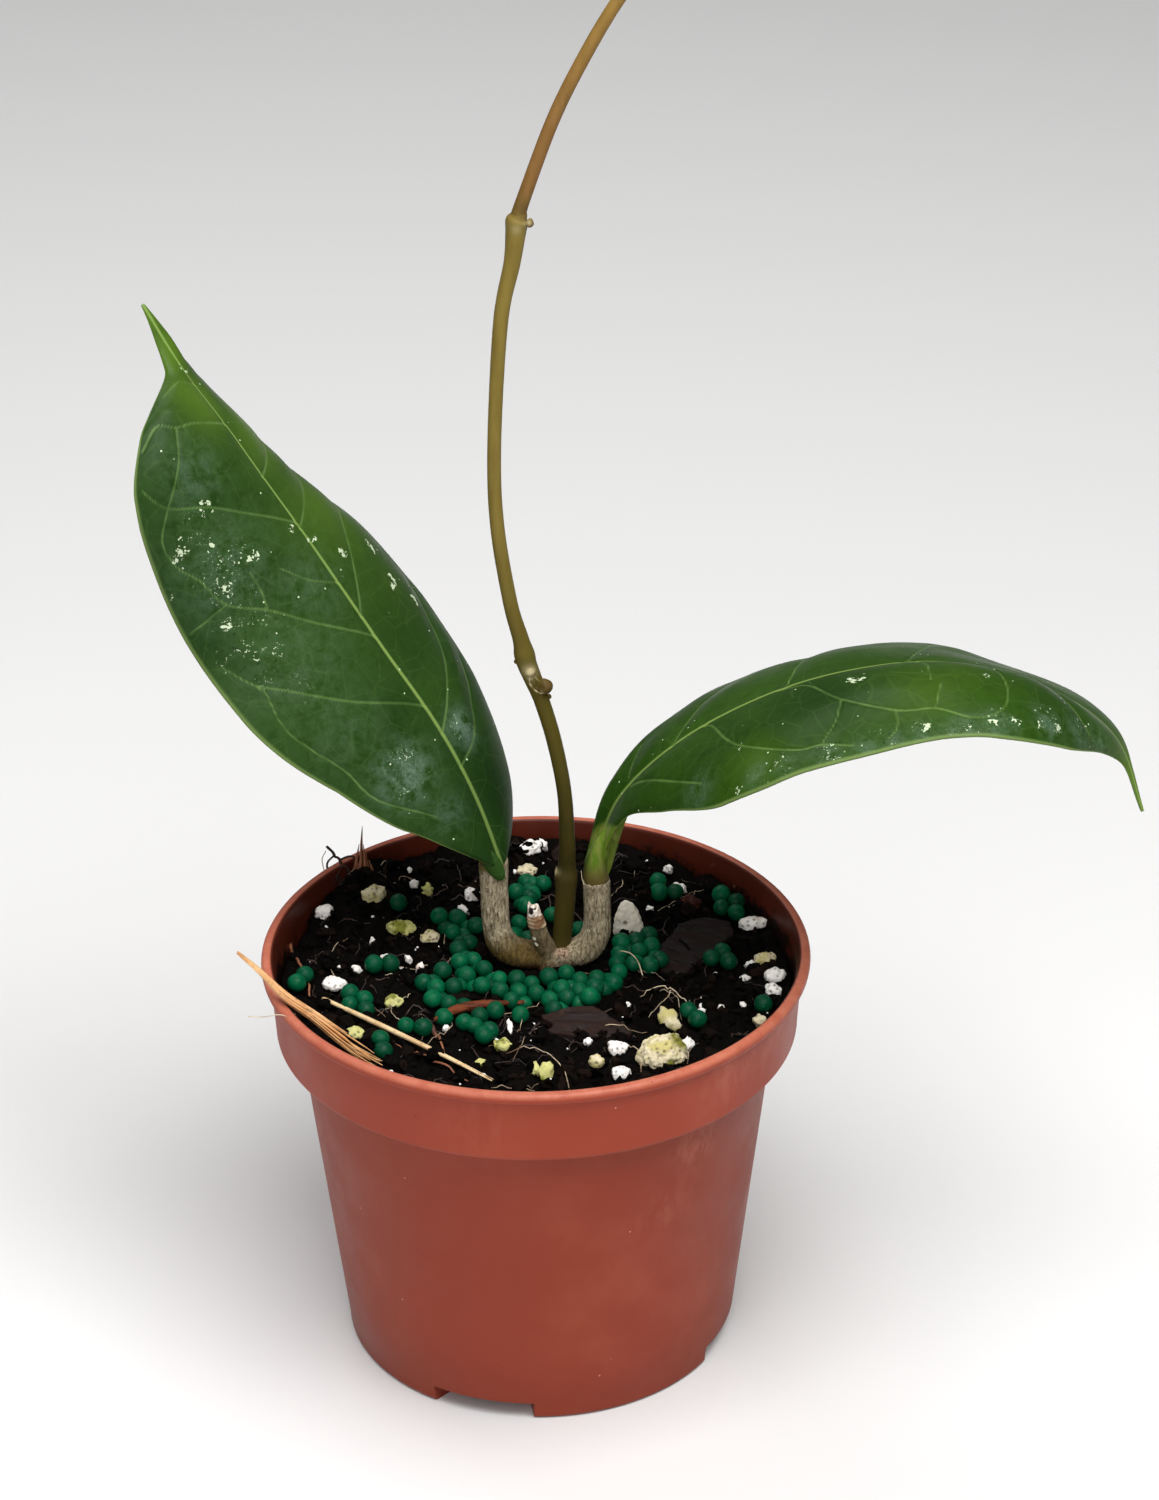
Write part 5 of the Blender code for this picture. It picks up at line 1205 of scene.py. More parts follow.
# where the grains round the stem lie, seen from above
HEAP_SPOTS = {
    "pellet_heap": [
        (-21.8, 22.8), (-17.8, 23.0), (-18.8, 17.8), (-13.5, 19.6), (-14.9, 13.1), (-17.2, 10.2),
        (-12.9, 5.5), (-16.9, 2.9), (-11.5, 1.0), (-15.3, -1.3), (-20.6, 1.1), (-24.7, -3.0), (-21.4, -5.5),
        (-18.5, -5.2), (-11.8, -6.2), (-8.2, -2.0), (-7.9, -8.0), (-4.2, -2.3), (-3.5, -8.6), (-5.1, -11.1),
        (-1.1, -4.2), (1.0, -9.2), (2.7, -2.2), (5.5, -6.4), (3.8, -14.2), (6.8, -1.2), (9.8, -3.1),
        (6.0, -10.1), (8.5, -9.3), (12.3, -6.8), (11.4, -11.5), (13.4, -2.7), (16.4, -3.5), (-18.8, -11.3),
        (-16.5, -12.4), (-21.7, -10.2), (-19.9, -16.9), (-15.4, -20.6), (-11.9, -17.3), (-9.1, -15.9),
        (-3.4, -17.9), (-11.1, -24.7), (3.8, -10.2), (18.9, 10.2), (21.7, 12.3), (24.7, 15.2), (25.1, 11.1),
        (22.6, 8.4), (16.5, 8.1), (27.0, 6.2), (16.9, 4.0), (20.8, 2.3), (25.0, 3.4), (18.1, 0.0),
    ],
    "pellets_behind_stem": [
        (-4.7, 32.7), (-0.9, 36.1), (-1.0, 31.0), (-2.5, 27.2), (-4.0, 19.4), (-4.7, 14.5), (-2.6, 13.4),
        (3.4, 23.7), (9.4, 17.0),
    ],
}
pellet_spots = []


def pellet_centres(node):
    """Where the grains lie: as listed, or read from the tops and the bottoms of the CAD node's spheres."""
    if node in HEAP_SPOTS:
        return [Vector((x, y, mix_height(x, y) + PELLET_RADIUS)) for x, y in HEAP_SPOTS[node]]
    bm = bmesh.new()
    bm.from_mesh(frame["nodes"][node].data)
    bmesh.ops.remove_doubles(bm, verts=bm.verts, dist=0.02 * MM)
    ring_drop = CAD_PELLET_RADIUS * (1.0 - math.cos(math.radians(45.0)))
    found = []
    for vert in bm.verts:
        near = [edge.other_vert(vert).co for edge in vert.link_edges]
        for sign in (1.0, -1.0):
            drops = [sign * (vert.co.z - co.z) / MM for co in near]
            if min(drops) > 0.0 and sum(abs(drop - ring_drop) < 0.02 for drop in drops) >= 2:
                centre = vert.co / MM - Vector((0.0, 0.0, sign * CAD_PELLET_RADIUS))
                if all((centre - other).length > 0.6 for other in found):
                    found.append(centre)
    bm.free()
    return found


def clear_of_stem(centre):
    """Push a grain sideways until it touches neither the petioles nor the stub."""
    left, right, radius = STEM_FOOT
    room = radius + STEM_FRONT_ROOM if centre.y < left[1] else radius
    posts = [(min(max(centre.x, left[0]), right[0]), left[1], room), STUB_FOOT]
    for x, y, post_radius in posts:
        away = Vector((centre.x - x, centre.y - y, 0.0))
        short = post_radius + PELLET_RADIUS - away.length
        if short > 0.0 and away.length > 0.01:
            centre += away.normalized() * short


def heaped(centres):
    """Let the grains roll apart until they only touch, some of them up onto the others."""
    centres = [centre.copy() for centre in centres]
    for turn in range(HEAP_TURNS):
        for i, first in enumerate(centres):
            for second in centres[i + 1:]:
                between = second - first
                overlap = 2 * PELLET_RADIUS * PELLET_ROOM - between.length
                if overlap > 0.0:
                    push = between.normalized() * (0.5 * overlap)
                    push.x *= SIDEWAYS_PUSH
                    push.y *= SIDEWAYS_PUSH
                    first -= push
                    second += push
        for centre in centres:
            clear_of_stem(centre)
            centre.z = max(centre.z - 0.03, top_of_mix(centre.x, centre.y) + REST_HEIGHT * PELLET_RADIUS,
                           mix_height(centre.x, centre.y) + REST_HEIGHT_LEAST * PELLET_RADIUS)
    return centres


def lower_layer(centres):
    """Grains that show in the gaps between the upper ones, half sunk in the mix."""
    found = []
    for i, first in enumerate(centres):
        for second in centres[i + 1:]:
            middle = (first + second) / 2
            apart = (first - second).length / PELLET_RADIUS
            if GAP_LEAST < apart < GAP_MOST and middle.y > LOWER_LAYER_FRONT:
                middle.z = mix_height(middle.x, middle.y) + LOWER_LAYER_HEIGHT * PELLET_RADIUS
                if all((middle - other).length > LOWER_LAYER_APART * PELLET_RADIUS for other in found):
                    found.append(middle)
    return found


def prills(node, draw):
    """All the grains of one group, each a little uneven, with its own shade of green."""
    bm = bmesh.new()
    tone = bm.verts.layers.float.new("tone")
    upper = heaped(pellet_centres(node))
    lower = lower_layer(upper) if node in HEAP_SPOTS else []
    for centre in upper + lower:
        pellet_spots.append(centre)
        fineness = 3 if centre in upper else 2
        made = bmesh.ops.create_icosphere(bm, subdivisions=fineness, radius=1.0)["verts"]
        size = PELLET_RADIUS * draw.uniform(*PELLET_SIZES)
        squash = draw.uniform(0.92, 1.0)
        shift = Vector((draw.uniform(0, 90), draw.uniform(0, 90), 0.0))
        shade = draw.random()
        turn = Matrix.Rotation(draw.uniform(0, math.pi), 3, Vector((draw.random(), draw.random(), 1.0)))
        for vert in made:
            lump = (1.0 + 0.035 * noise.noise(vert.co * 1.3 + shift)
                    + 0.012 * noise.noise(vert.co * 4.5 + shift))
            vert.co = centre + turn @ Vector((vert.co.x, vert.co.y, vert.co.z * squash)) * (size * lump)
            vert[tone] = shade
    return shaped(node + "_prills", bm)


coat = Finish("pellet", 0.42, IOR=1.5, Specular_IOR_Level=0.12)
coating = coat.blend(coat.painted("tone"), colour(0, 60, 36), colour(0, 92, 56))
coating = coat.blend(coat.fade(coat.grain(700.0, 4.0, 0.6), 0.40, 0.70, 0.0, 0.45), coating,
                     colour(0, 42, 27))
crackle = coat.fade(coat.cells(1500.0, "DISTANCE_TO_EDGE"), 0.06, 0.0, 0.0, 0.45)
coating = coat.blend(crackle, coating, colour(0, 46, 32))
coating = coat.blend(coat.fade(coat.grain(1500.0, 2.0), 0.68, 0.76, 0.0, 0.4), coating, colour(40, 138, 98))
coat.feed("Base Color", coating)
coat.feed("Roughness", coat.fade(coat.grain(500.0, 3.0), 0.3, 0.7, 0.34, 0.54))
coat.relief(coat.grain(2200.0, 3.0, 0.6), 0.07)
pellet_draw = random.Random(5)
for node in sorted(name for name in frame["nodes"] if name.startswith("pellet")):
    placed(prills(node, pellet_draw), "pellet", coat, node)


# Perlite: pale grains of expanded volcanic glass, light and crumbly, mixed in and left on the surface.
# Each grain is knobbly and full of small holes; some are stained cream or grey, some are green with algae.
PERLITE_VOXEL = 0.27
ROUGH_PERLITE_SIZE = 6.5
POINTED_FOOT = Vector((20.3, 20.6, 85.3))
POINTED_HALF_WIDTH = 3.5
POINTED_HEIGHT = 8.9
POINTED_LEAN = -0.3
POINTED_HOLE = Vector((-0.6, -2.3, 4.3))
# green places on the front lump, as (place, reach in millimetres)
ALGAE_SPOTS = [((31.0, -31.5, 90.5), 3.0), ((29.0, -37.5, 87.8), 1.6)]


def merged_copy(node, name):
    """A copy of a CAD node's mesh with its doubled points merged; the node itself stays as it is."""
    mesh = frame["nodes"][node].data.copy()
    bm = bmesh.new()
    bm.from_mesh(mesh)
    bmesh.ops.remove_doubles(bm, verts=bm.verts, dist=0.01 * MM)
    bm.to_mesh(mesh)
    bm.free()
    mesh.materials.clear()
    return new_object(name, mesh)


def even_shape(obj, voxel, smoothings):
    """Give the copy small even faces, and round its edges off."""
    even = obj.modifiers.new("even", "REMESH")
    even.mode = "VOXEL"
    even.voxel_size = voxel * MM
    settled(obj)
    bm = bmesh.new()
    bm.from_mesh(obj.data)
    for step in range(smoothings):
        bmesh.ops.smooth_vert(bm, verts=bm.verts, factor=0.5, use_axis_x=True, use_axis_y=True,
                              use_axis_z=True)
    bm.normal_update()
    return bm


def knobbly(place):
    """How far a perlite grain stands out, and how deep in a hole the place is, in millimetres."""
    knob = 0.42 - 1.00 * noise.voronoi(place * 0.45)[0][0]
    small_knob = 0.22 - 0.55 * noise.voronoi(place * 1.20)[0][0]
    hole = max(0.0, 0.38 - noise.voronoi(place * 0.85 + Vector((7.0, 3.0, 5.0)))[0][0]) / 0.38
    return knob + small_knob, min(1.0, 1.6 * hole)


def perlite_grain(node, seed):
    """The node's grain with knobs and holes, rougher where it is large."""
    grain = merged_copy(node, node + "_grain")
    rough = min(1.0, max(0.65, min(grain.dimensions) / MM / ROUGH_PERLITE_SIZE))
    bm = even_shape(grain, PERLITE_VOXEL, 2)
    pit = bm.verts.layers.float.new("pit")
    algae = bm.verts.layers.float.new("algae")
    for vert in bm.verts:
        stand, hole = knobbly(vert.co / MM + Vector((seed * 11.0, seed * 3.0, 0.0)))
        vert[algae] = max(nearness(vert.co / MM, spot, reach) for spot, reach in ALGAE_SPOTS)
        vert.co = vert.co + vert.normal * (rough * (stand + 0.20 - 0.50 * hole) * MM)
        vert[pit] = hole
    bm.to_mesh(grain.data)
    bm.free()
    grain.data.shade_smooth()
    return grain


def pointed_grain(node):
    """The one grain that stands up to a point, like a small tent with a hole low in its front."""
    bm = bmesh.new()
    pit = bm.verts.layers.float.new("pit")
    bmesh.ops.create_icosphere(bm, subdivisions=5, radius=1.0)
    for vert in bm.verts:
        around, height = math.atan2(vert.co.y, vert.co.x), (vert.co.z + 1.0) / 2
        corner = 1.0 + 0.10 * math.cos(3.0 * around + 0.6)
        width = (POINTED_HALF_WIDTH * corner * math.sqrt(max(0.0, 1.0 - height ** 1.7))
                 * min(1.0, 3.6 * height + 0.5))
        flat = math.hypot(vert.co.x, vert.co.y)
        spread = width / flat if flat > 0.001 else 0.0
        place = Vector((vert.co.x * spread, 0.75 * vert.co.y * spread, height * POINTED_HEIGHT))
        place.x += POINTED_LEAN * height
        dent = max(0.0, 1.0 - (place - POINTED_HOLE).length / 0.75)
        rough = 0.22 * noise.noise(place * 0.9) + 0.10 * noise.noise(place * 2.6)
        place += vert.normal * (rough - 0.5 * dent)
        vert[pit] = min(1.0, 2.0 * dent)
        vert.co = POINTED_FOOT + place
    return shaped(node + "_grain", bm)


def perlite_finish(name, light, dark, stain, stain_share):
    glass = Finish(name, 0.88, Specular_IOR_Level=0.25)
    tone = glass.blend(glass.grain(260.0, 4.0, 0.6), dark, light)
    tone = glass.blend(glass.fade(glass.grain(150.0, 4.0, 0.6), 0.62 - 0.35 * stain_share,
                                  0.74 - 0.35 * stain_share),
                       tone, stain)
    mossy = glass.times(glass.fade(glass.painted("algae"), 0.25, 0.7),
                        glass.fade(glass.grain(420.0, 4.0, 0.7), 0.28, 0.48))
    tone = glass.blend(mossy, tone, colour(110, 108, 34))
    tone = glass.blend(glass.fade(glass.cells(1300.0), 0.20, 0.08, 0.0, 0.55), tone, colour(96, 82, 62))
    tone = glass.blend(glass.times(glass.painted("pit"), 0.8), tone, colour(62, 50, 38))
    glass.feed("Base Color", tone)
    glass.relief(glass.grain(1700.0, 4.0, 0.7), 0.16)
    return glass


perlite_finishes = {
    "perlite": perlite_finish("perlite", colour(250, 247, 243), colour(222, 212, 204), colour(228, 200, 186),
                              0.15),
    "perlite_cream": perlite_finish("perlite_cream", colour(222, 212, 182), colour(188, 172, 136),
                                    colour(184, 172, 112), 0.35),
    "perlite_algae": perlite_finish("perlite_algae", colour(214, 210, 146), colour(168, 166, 88),
                                    colour(118, 122, 42), 0.45),
    "perlite_grey": perlite_finish("perlite_grey", colour(255, 249, 234), colour(224, 212, 190),
                                   colour(160, 142, 120), 0.25),
}
slots = {part["node"]: part["material_slot"] for part in frame["record"]["subparts"]}
perlite_nodes = sorted(name for name in frame["nodes"] if name.startswith("perlite"))
for seed, node in enumerate(perlite_nodes):
    grain = pointed_grain(node) if node == "perlite_pointed" else perlite_grain(node, seed)
    placed(grain, slots[node], perlite_finishes[slots[node]], node)


# Bark: chips of orchid bark, dark brown and reddish, split along their layers.
# They lie loose in the mix; the two largest are thin plates that lie at a slant.
BARK_VOXEL = 0.30
# outlines of the two flat plates, seen from above, in millimetres
# and each plate's slope, as (height at y = 0, rise to the back)
FRONT_PLATE = [
    (1.1, -19.1), (2.8, -18.6), (5.6, -17.5), (8.9, -17.1), (12.1, -17.1), (13.8, -17.8), (15.7, -19.5),
    (19.6, -21.9), (20.6, -22.9), (20.4, -23.7), (18.0, -24.5), (15.7, -24.6), (11.6, -24.2), (7.3, -24.2),
    (3.0, -23.6), (2.6, -22.7), (3.9, -21.3), (1.3, -20.0),
]
FRONT_PLATE_SLOPE = (97.9, 0.45)
LARGE_PLATE = [
    (31.4, 17.1), (34.2, 19.0), (39.1, 19.3), (43.3, 17.8), (43.8, 14.7), (41.1, 12.0), (38.6, 9.2),
    (35.8, 6.7), (33.1, 3.9), (29.4, 3.4), (27.0, 4.9), (28.6, 7.4), (26.6, 10.4), (29.4, 14.0),
]
LARGE_PLATE_SLOPE = (84.4, 0.33)


def plate(name, outline, slope, thick):
    """A flat chip that lies at a slant on the mix."""
    bm = bmesh.new()
    base = bm.faces.new([bm.verts.new((x, y, slope[0] + slope[1] * y - thick)) for x, y in outline])
    grown = bmesh.ops.extrude_face_region(bm, geom=[base])["geom"]
    lifted = [item for item in grown if isinstance(item, bmesh.types.BMVert)]
    bmesh.ops.translate(bm, verts=lifted, vec=(0.0, 0.0, thick))
    return shaped(name, bm)


def weathered(chip, grain_turn, smoothings, depth, seed):
    """Give a chip its layers and its torn edges."""
    bm = even_shape(chip, BARK_VOXEL, smoothings)
    along = Matrix.Rotation(math.radians(grain_turn), 3, "Z")
    for vert in bm.verts:
        place = along @ (vert.co / MM) + Vector((seed * 9.0, 0.0, 0.0))
        layer = noise.noise(Vector((place.x * 0.16, place.y * 0.75, place.z * 1.3)))
        flake = noise.noise(Vector((place.x * 0.5, place.y * 2.2, place.z * 2.2)))
        vert.co = vert.co + vert.normal * (depth * (layer + 0.35 * flake) * MM)
    bm.to_mesh(chip.data)
    bm.free()
    chip.data.shade_smooth()
    return chip


def bark_finish(name, dark, light, glow, turn):
    rough_bark = Finish(name, 0.72, Specular_IOR_Level=0.12)
    inputs = (("Vector", rough_bark.place), ("Rotation", (0.0, 0.0, math.radians(turn))),
              ("Scale", (0.22, 1.0, 1.0)))
    along = rough_bark.node("ShaderNodeMapping", inputs).outputs["Vector"]
    inputs = (("Vector", along), ("Scale", 620.0), ("Detail", 5.0), ("Roughness", 0.65))
    strata = rough_bark.node("ShaderNodeTexNoise", inputs).outputs["Fac"]
    tone = rough_bark.blend(rough_bark.fade(strata, 0.35, 0.65), dark, light)
    tone = rough_bark.blend(rough_bark.fade(rough_bark.grain(300.0, 4.0, 0.65), 0.58, 0.72, 0.0, 0.6), tone,
                            glow)
    rough_bark.feed("Base Color", tone)
    rough_bark.feed("Roughness", rough_bark.fade(strata, 0.3, 0.7, 0.45, 0.85))
    rough_bark.relief(strata, 0.35)
    return rough_bark


bark_finishes = {
    "bark": bark_finish("bark", colour(22, 13, 10), colour(39, 23, 17), colour(54, 34, 25), 6.0),
    "bark_red": bark_finish("bark_red", colour(40, 17, 12), colour(70, 32, 22), colour(88, 42, 30), -20.0),
}
dark_plate_finish = bark_finish("bark_plate", colour(11, 7, 6), colour(27, 16, 13), colour(46, 27, 21), -20.0)
large_plate = plate("bark_large_chip", LARGE_PLATE, LARGE_PLATE_SLOPE, 2.6)
placed(weathered(large_plate, 25.0, 2, 0.45, 0), slots["bark_large"], dark_plate_finish, "bark_large")
front_plate = plate("bark_front_chip", FRONT_PLATE, FRONT_PLATE_SLOPE, 1.7)
placed(weathered(front_plate, 6.0, 2, 0.35, 2), slots["bark_front"], bark_finishes["bark"], "bark_front")
for seed, (node, turn) in enumerate([("bark_small", -20.0), ("bark_rear", 60.0)]):
    chip = weathered(merged_copy(node, node + "_chip"), turn, 2, 0.45, seed + 4)
    placed(chip, slots[node], bark_finishes[slots[node]], node)


# Straw: a golden bundle of dry grass that leans over the lip, a pale straw, and a sliver of red bark.
# The bundle is many loose strands, held together at its upper end and fanned out on the mix.
BUNDLE_LINE = [
    (-63.8, -16.7, 104.0), (-58.6, -18.0, 99.4), (-53.1, -22.9, 96.2), (-46.5, -25.2, 92.0),
    (-39.5, -30.5, 89.2), (-33.0, -35.2, 87.6),
]
LIGHT_STRAW_LINE = [(-46.4, -9.1, 87.5), (-32.9, -21.7, 88.1), (-19.7, -33.8, 88.2), (-9.2, -43.1, 87.7)]
SLIVER_LINE = [(-22.0, -18.6, 87.7), (-16.9, -15.2, 88.3), (-10.8, -13.9, 88.7), (-2.6, -12.2, 88.1)]
BUNDLE_STRANDS = 44
STRAND_STEPS = 26

straw_draw = random.Random(11)
bundle_routes = []
for k in range(BUNDLE_STRANDS):
    start = straw_draw.uniform(0.0, 0.25) if k > 8 else 0.0
    end = min(1.0, start + straw_draw.uniform(0.45, 1.0))
    angle = straw_draw.uniform(0.0, 2 * math.pi)
    spread = straw_draw.uniform(0.15, 0.95)
    thickness = straw_draw.uniform(0.10, 0.34)
    wander = straw_draw.uniform(0.0, 50.0)
    points = []
    radii = []
    for step in range(STRAND_STEPS + 1):
        share = start + (end - start) * step / STRAND_STEPS
        loose = 0.45 + 2.1 * share ** 1.5
        curl = 0.8 * noise.noise(Vector((wander, 2.2 * share, 0.0))) * loose
        offset = Vector((0.45 * math.cos(angle), 0.80 * math.cos(angle) + curl,
                         0.8 * math.sin(angle))) * spread * loose
        place = curve_through(BUNDLE_LINE, share) + offset
        if math.hypot(place.x, place.y) < MIX_RIM_RADIUS:
            place.z = max(place.z, top_of_mix(place.x, place.y) + 0.3)
        points.append(place)
        radii.append(thickness * (1.0 - 0.7 * abs(2 * step / STRAND_STEPS - 1.0) ** 3))
    bundle_routes.append((points, radii))


def straw_finish(name, pale, gold, dark):
    dry = Finish(name, 0.5)
    tone = dry.blend(dry.fade(dry.grain(90.0, 3.0, 0.6), 0.30, 0.70), gold, pale)
    tone = dry.blend(dry.fade(dry.grain(800.0, 4.0, 0.7), 0.52, 0.75, 0.0, 0.7), tone, dark)
    dry.feed("Base Color", tone)
    dry.relief(dry.grain(2200.0, 3.0, 0.6), 0.05)
    return dry


golden = straw_finish("straw", colour(222, 176, 122), colour(178, 118, 62), colour(92, 50, 22))
pale_straw = straw_finish("straw_pale", colour(226, 200, 156), colour(180, 138, 88), colour(116, 78, 42))
placed(strands("straw_bundle_strands", bundle_routes, 6), "straw", golden, "straw_bundle")

light_route = smooth_route(LIGHT_STRAW_LINE, [0.42, 0.55, 0.40, 0.18], 60)
split_route = smooth_route([Vector(p) + Vector((0.3, 0.4, 0.1)) for p in LIGHT_STRAW_LINE],
                           [0.10, 0.22, 0.18, 0.08], 60)
placed(strands("straw_light_split", [light_route, split_route], 10), "straw", pale_straw, "straw_light")

sliver_route = smooth_route(SLIVER_LINE, [0.32, 1.05, 0.85, 0.30], 50)
sliver = strands("bark_sliver_split", [sliver_route], 14)
for vert in sliver.data.vertices:
    place = vert.co / MM
    vert.co.z += 0.22 * MM * noise.noise(Vector((place.x * 0.5, place.y * 3.0, place.z * 2.0)))
    vert.co.y += 0.25 * MM * noise.noise(Vector((place.x * 0.4, place.z * 2.5, 4.0)))
sliver_finish = bark_finish("bark_sliver", colour(62, 28, 15), colour(112, 56, 32), colour(140, 78, 48), 0.0)
placed(sliver, "bark_red", sliver_finish, "bark_sliver")


# Crumbs: small lumps of peat and thin flakes of bark.
# They lie loose all over the mix, some flat and some on edge.
CRUMB_COUNT = 1300
FLAKE_COUNT = 170
CRUMB_ROOM = 54.6


def clear_spot(x, y, room):
    """True where no stem stands and no pellet lies."""
    left, right, radius = STEM_FOOT
    away = math.hypot(x - min(max(x, left[0]), right[0]), y - left[1])
    return away > radius + room and all(math.hypot(x - p.x, y - p.y) > PELLET_RADIUS * 0.8 + room
                                        for p in pellet_spots)


def add_grain(bm, centre, sizes, draw, subdivisions, rough, layer, shade):
    """An uneven grain; fine ones get few faces, because there are hundreds of them."""
    made = bmesh.ops.create_icosphere(bm, subdivisions=subdivisions, radius=1.0)["verts"]
    turn = Matrix.Rotation(draw.uniform(0, 2 * math.pi), 3,
                           Vector((draw.random(), draw.random(), draw.random() + 0.3)))
    shift = Vector((draw.uniform(0, 90), draw.uniform(0, 90), 0.0))
    for vert in made:
        lump = (1.0 + rough * noise.noise(vert.co * 1.6 + shift)
                + 0.4 * rough * noise.noise(vert.co * 4.0 + shift))
        vert.co = centre + turn @ Vector((vert.co.x * sizes[0], vert.co.y * sizes[1],
                                          vert.co.z * sizes[2])) * lump
        vert[layer] = shade


crumb_draw = random.Random(21)
crumb_shape = bmesh.new()
crumb_tone = crumb_shape.verts.layers.float.new("tone")
count = 0
while count < CRUMB_COUNT:
    angle = crumb_draw.uniform(0, 2 * math.pi)
    away = CRUMB_ROOM * math.sqrt(crumb_draw.random())
    size = 0.45 + 1.5 * crumb_draw.random() ** 3
    x, y = away * math.cos(angle), away * math.sin(angle)
    if away + size > CRUMB_ROOM or not clear_spot(x, y, 0.6 * size):
        continue
    sizes = [size * crumb_draw.uniform(0.6, 1.5), size * crumb_draw.uniform(0.6, 1.2),
             size * crumb_draw.uniform(0.5, 0.9)]
    centre = Vector((x, y, top_of_mix(x, y) + 0.25 * size))
    add_grain(crumb_shape, centre, sizes, crumb_draw, 2 if size > 1.2 else 1, 0.7, crumb_tone,
              crumb_draw.random())
    count += 1
count = 0
while count < FLAKE_COUNT:
    angle = crumb_draw.uniform(0, 2 * math.pi)
    away = CRUMB_ROOM * math.sqrt(crumb_draw.random())
    size = 1.0 + 1.9 * crumb_draw.random() ** 2
    x, y = away * math.cos(angle), away * math.sin(angle)
    if away + size > CRUMB_ROOM or not clear_spot(x, y, 0.5 * size):
        continue
    sizes = [size * crumb_draw.uniform(0.8, 1.3), size * crumb_draw.uniform(0.4, 0.8),
             size * crumb_draw.uniform(0.15, 0.35)]
    centre = Vector((x, y, top_of_mix(x, y) + 0.3 * size))
    add_grain(crumb_shape, centre, sizes, crumb_draw, 2, 0.6, crumb_tone, crumb_draw.random())
    count += 1
crumbs = shaped("mix_crumbs", crumb_shape)
crumbs.data.shade_flat()
crumb_finish = Finish("mix_crumbs", 0.85, Specular_IOR_Level=0.05)
light_crumb = crumb_finish.fade(crumb_finish.painted("tone"), 0.5, 1.0)
crumb_colour = crumb_finish.blend(light_crumb, colour(5, 4, 3), colour(22, 13, 9))
specks = crumb_finish.fade(crumb_finish.grain(600.0, 4.0, 0.7), 0.52, 0.78, 0.0, 0.5)
crumb_colour = crumb_finish.blend(specks, crumb_colour, colour(30, 21, 16))
crumb_finish.feed("Base Color", crumb_colour)
crumb_finish.relief(crumb_finish.grain(1400.0, 4.0, 0.7), 0.3)
placed(crumbs, "potting_mix", crumb_finish)


# Small perlite: the fine part of the perlite, from grains of a few millimetres down to white dust.
# The places of the larger ones follow the real surface; the dust lies anywhere.
# larger grains, as (x, y, size)
SMALL_WHITE = [
    (-27.8, 35.4, 1.5), (-16.4, 26.4, 1.3), (29.8, 42.7, 1.3), (32.1, 34.7, 1.6), (47.2, 7.8, 1.2),
    (-28.2, 7.4, 1.0), (-25.7, 4.9, 1.2), (-33.5, 8.4, 0.9), (-39.5, 3.8, 1.1), (-36.6, 15.9, 0.9),
    (-19.3, -21.3, 1.0), (-5.6, -20.8, 1.1), (32.5, -27.7, 1.7), (1.3, 52.1, 1.2), (25.4, 28.3, 0.9),
    (19.9, -11.1, 0.8), (35.5, -14.2, 1.0), (40.3, -11.6, 0.9), (44.9, -10.6, 0.8), (45.8, 2.0, 1.0),
    (11.2, -25.7, 1.1),
]
SMALL_CREAM = [(48.3, -18.1, 2.1), (28.7, -17.5, 2.2)]
SMALL_GREEN = [(-24.9, 34.8, 1.7), (-11.9, -33.4, 1.2), (2.2, -38.9, 1.8), (0.2, -37.2, 1.2)]
DUST_COUNT = 110
DUST_ROOM = 53.0

grain_draw = random.Random(31)
for name, spots, slot in (("perlite_small_white", SMALL_WHITE, "perlite"),
                          ("perlite_small_cream", SMALL_CREAM, "perlite_cream"),
                          ("perlite_small_green", SMALL_GREEN, "perlite_algae")):
    bm = bmesh.new()
    pit = bm.verts.layers.float.new("pit")
    for x, y, size in spots:
        sizes = [size * grain_draw.uniform(0.9, 1.5), size * grain_draw.uniform(0.7, 1.0),
                 size * grain_draw.uniform(0.6, 0.9)]
        centre = Vector((x, y, max(top_of_mix(x, y), mix_height(x, y) - 0.3) + 0.45 * size))
        add_grain(bm, centre, sizes, grain_draw, 3, 0.5, pit, 0.0)
    if name == "perlite_small_white":
        for k in range(DUST_COUNT):
            angle = grain_draw.uniform(0, 2 * math.pi)
            away = DUST_ROOM * math.sqrt(grain_draw.random())
            size = 0.18 + 0.45 * grain_draw.random() ** 3
            x, y = away * math.cos(angle), away * math.sin(angle)
            if clear_spot(x, y, size):
                centre = Vector((x, y, top_of_mix(x, y) + 0.5 * size))
                add_grain(bm, centre, [size * 1.3, size, size * 0.8], grain_draw, 2, 0.4, pit, 0.0)
    placed(shaped(name, bm), slot, perlite_finishes[slot])


# Roots, fibres and twigs: fine dry roots that loop over the mix, brown peat fibres, and twigs at the rim.
# They are caught in the mix or lie loose on it; a splintered shard stands up at the back left.
ROOT_LINES = [
    [(-6.6, -29.7), (0.9, -30.1), (5.2, -37.0), (7.3, -46.3)], [(19.1, -27.4), (22.4, -34.0), (22.0, -42.1)],
    [(33.4, -10.3), (28.0, -7.0), (22.6, -6.0)], [(-24.0, 28.4), (-20.8, 20.0), (-20.3, 12.3)],
    [(-45.6, 7.3), (-44.0, 0.0), (-40.7, -5.4)], [(24.0, 6.4), (27.3, 8.5), (30.4, 8.0)],
]
ROOT_COUNT = 38
FIBRE_COUNT = 170
ROOT_ROOM = 53.0
ROOT_LENGTH = 13.0
FIBRE_ROOM = 54.0
FIBRE_LENGTH = 8.0
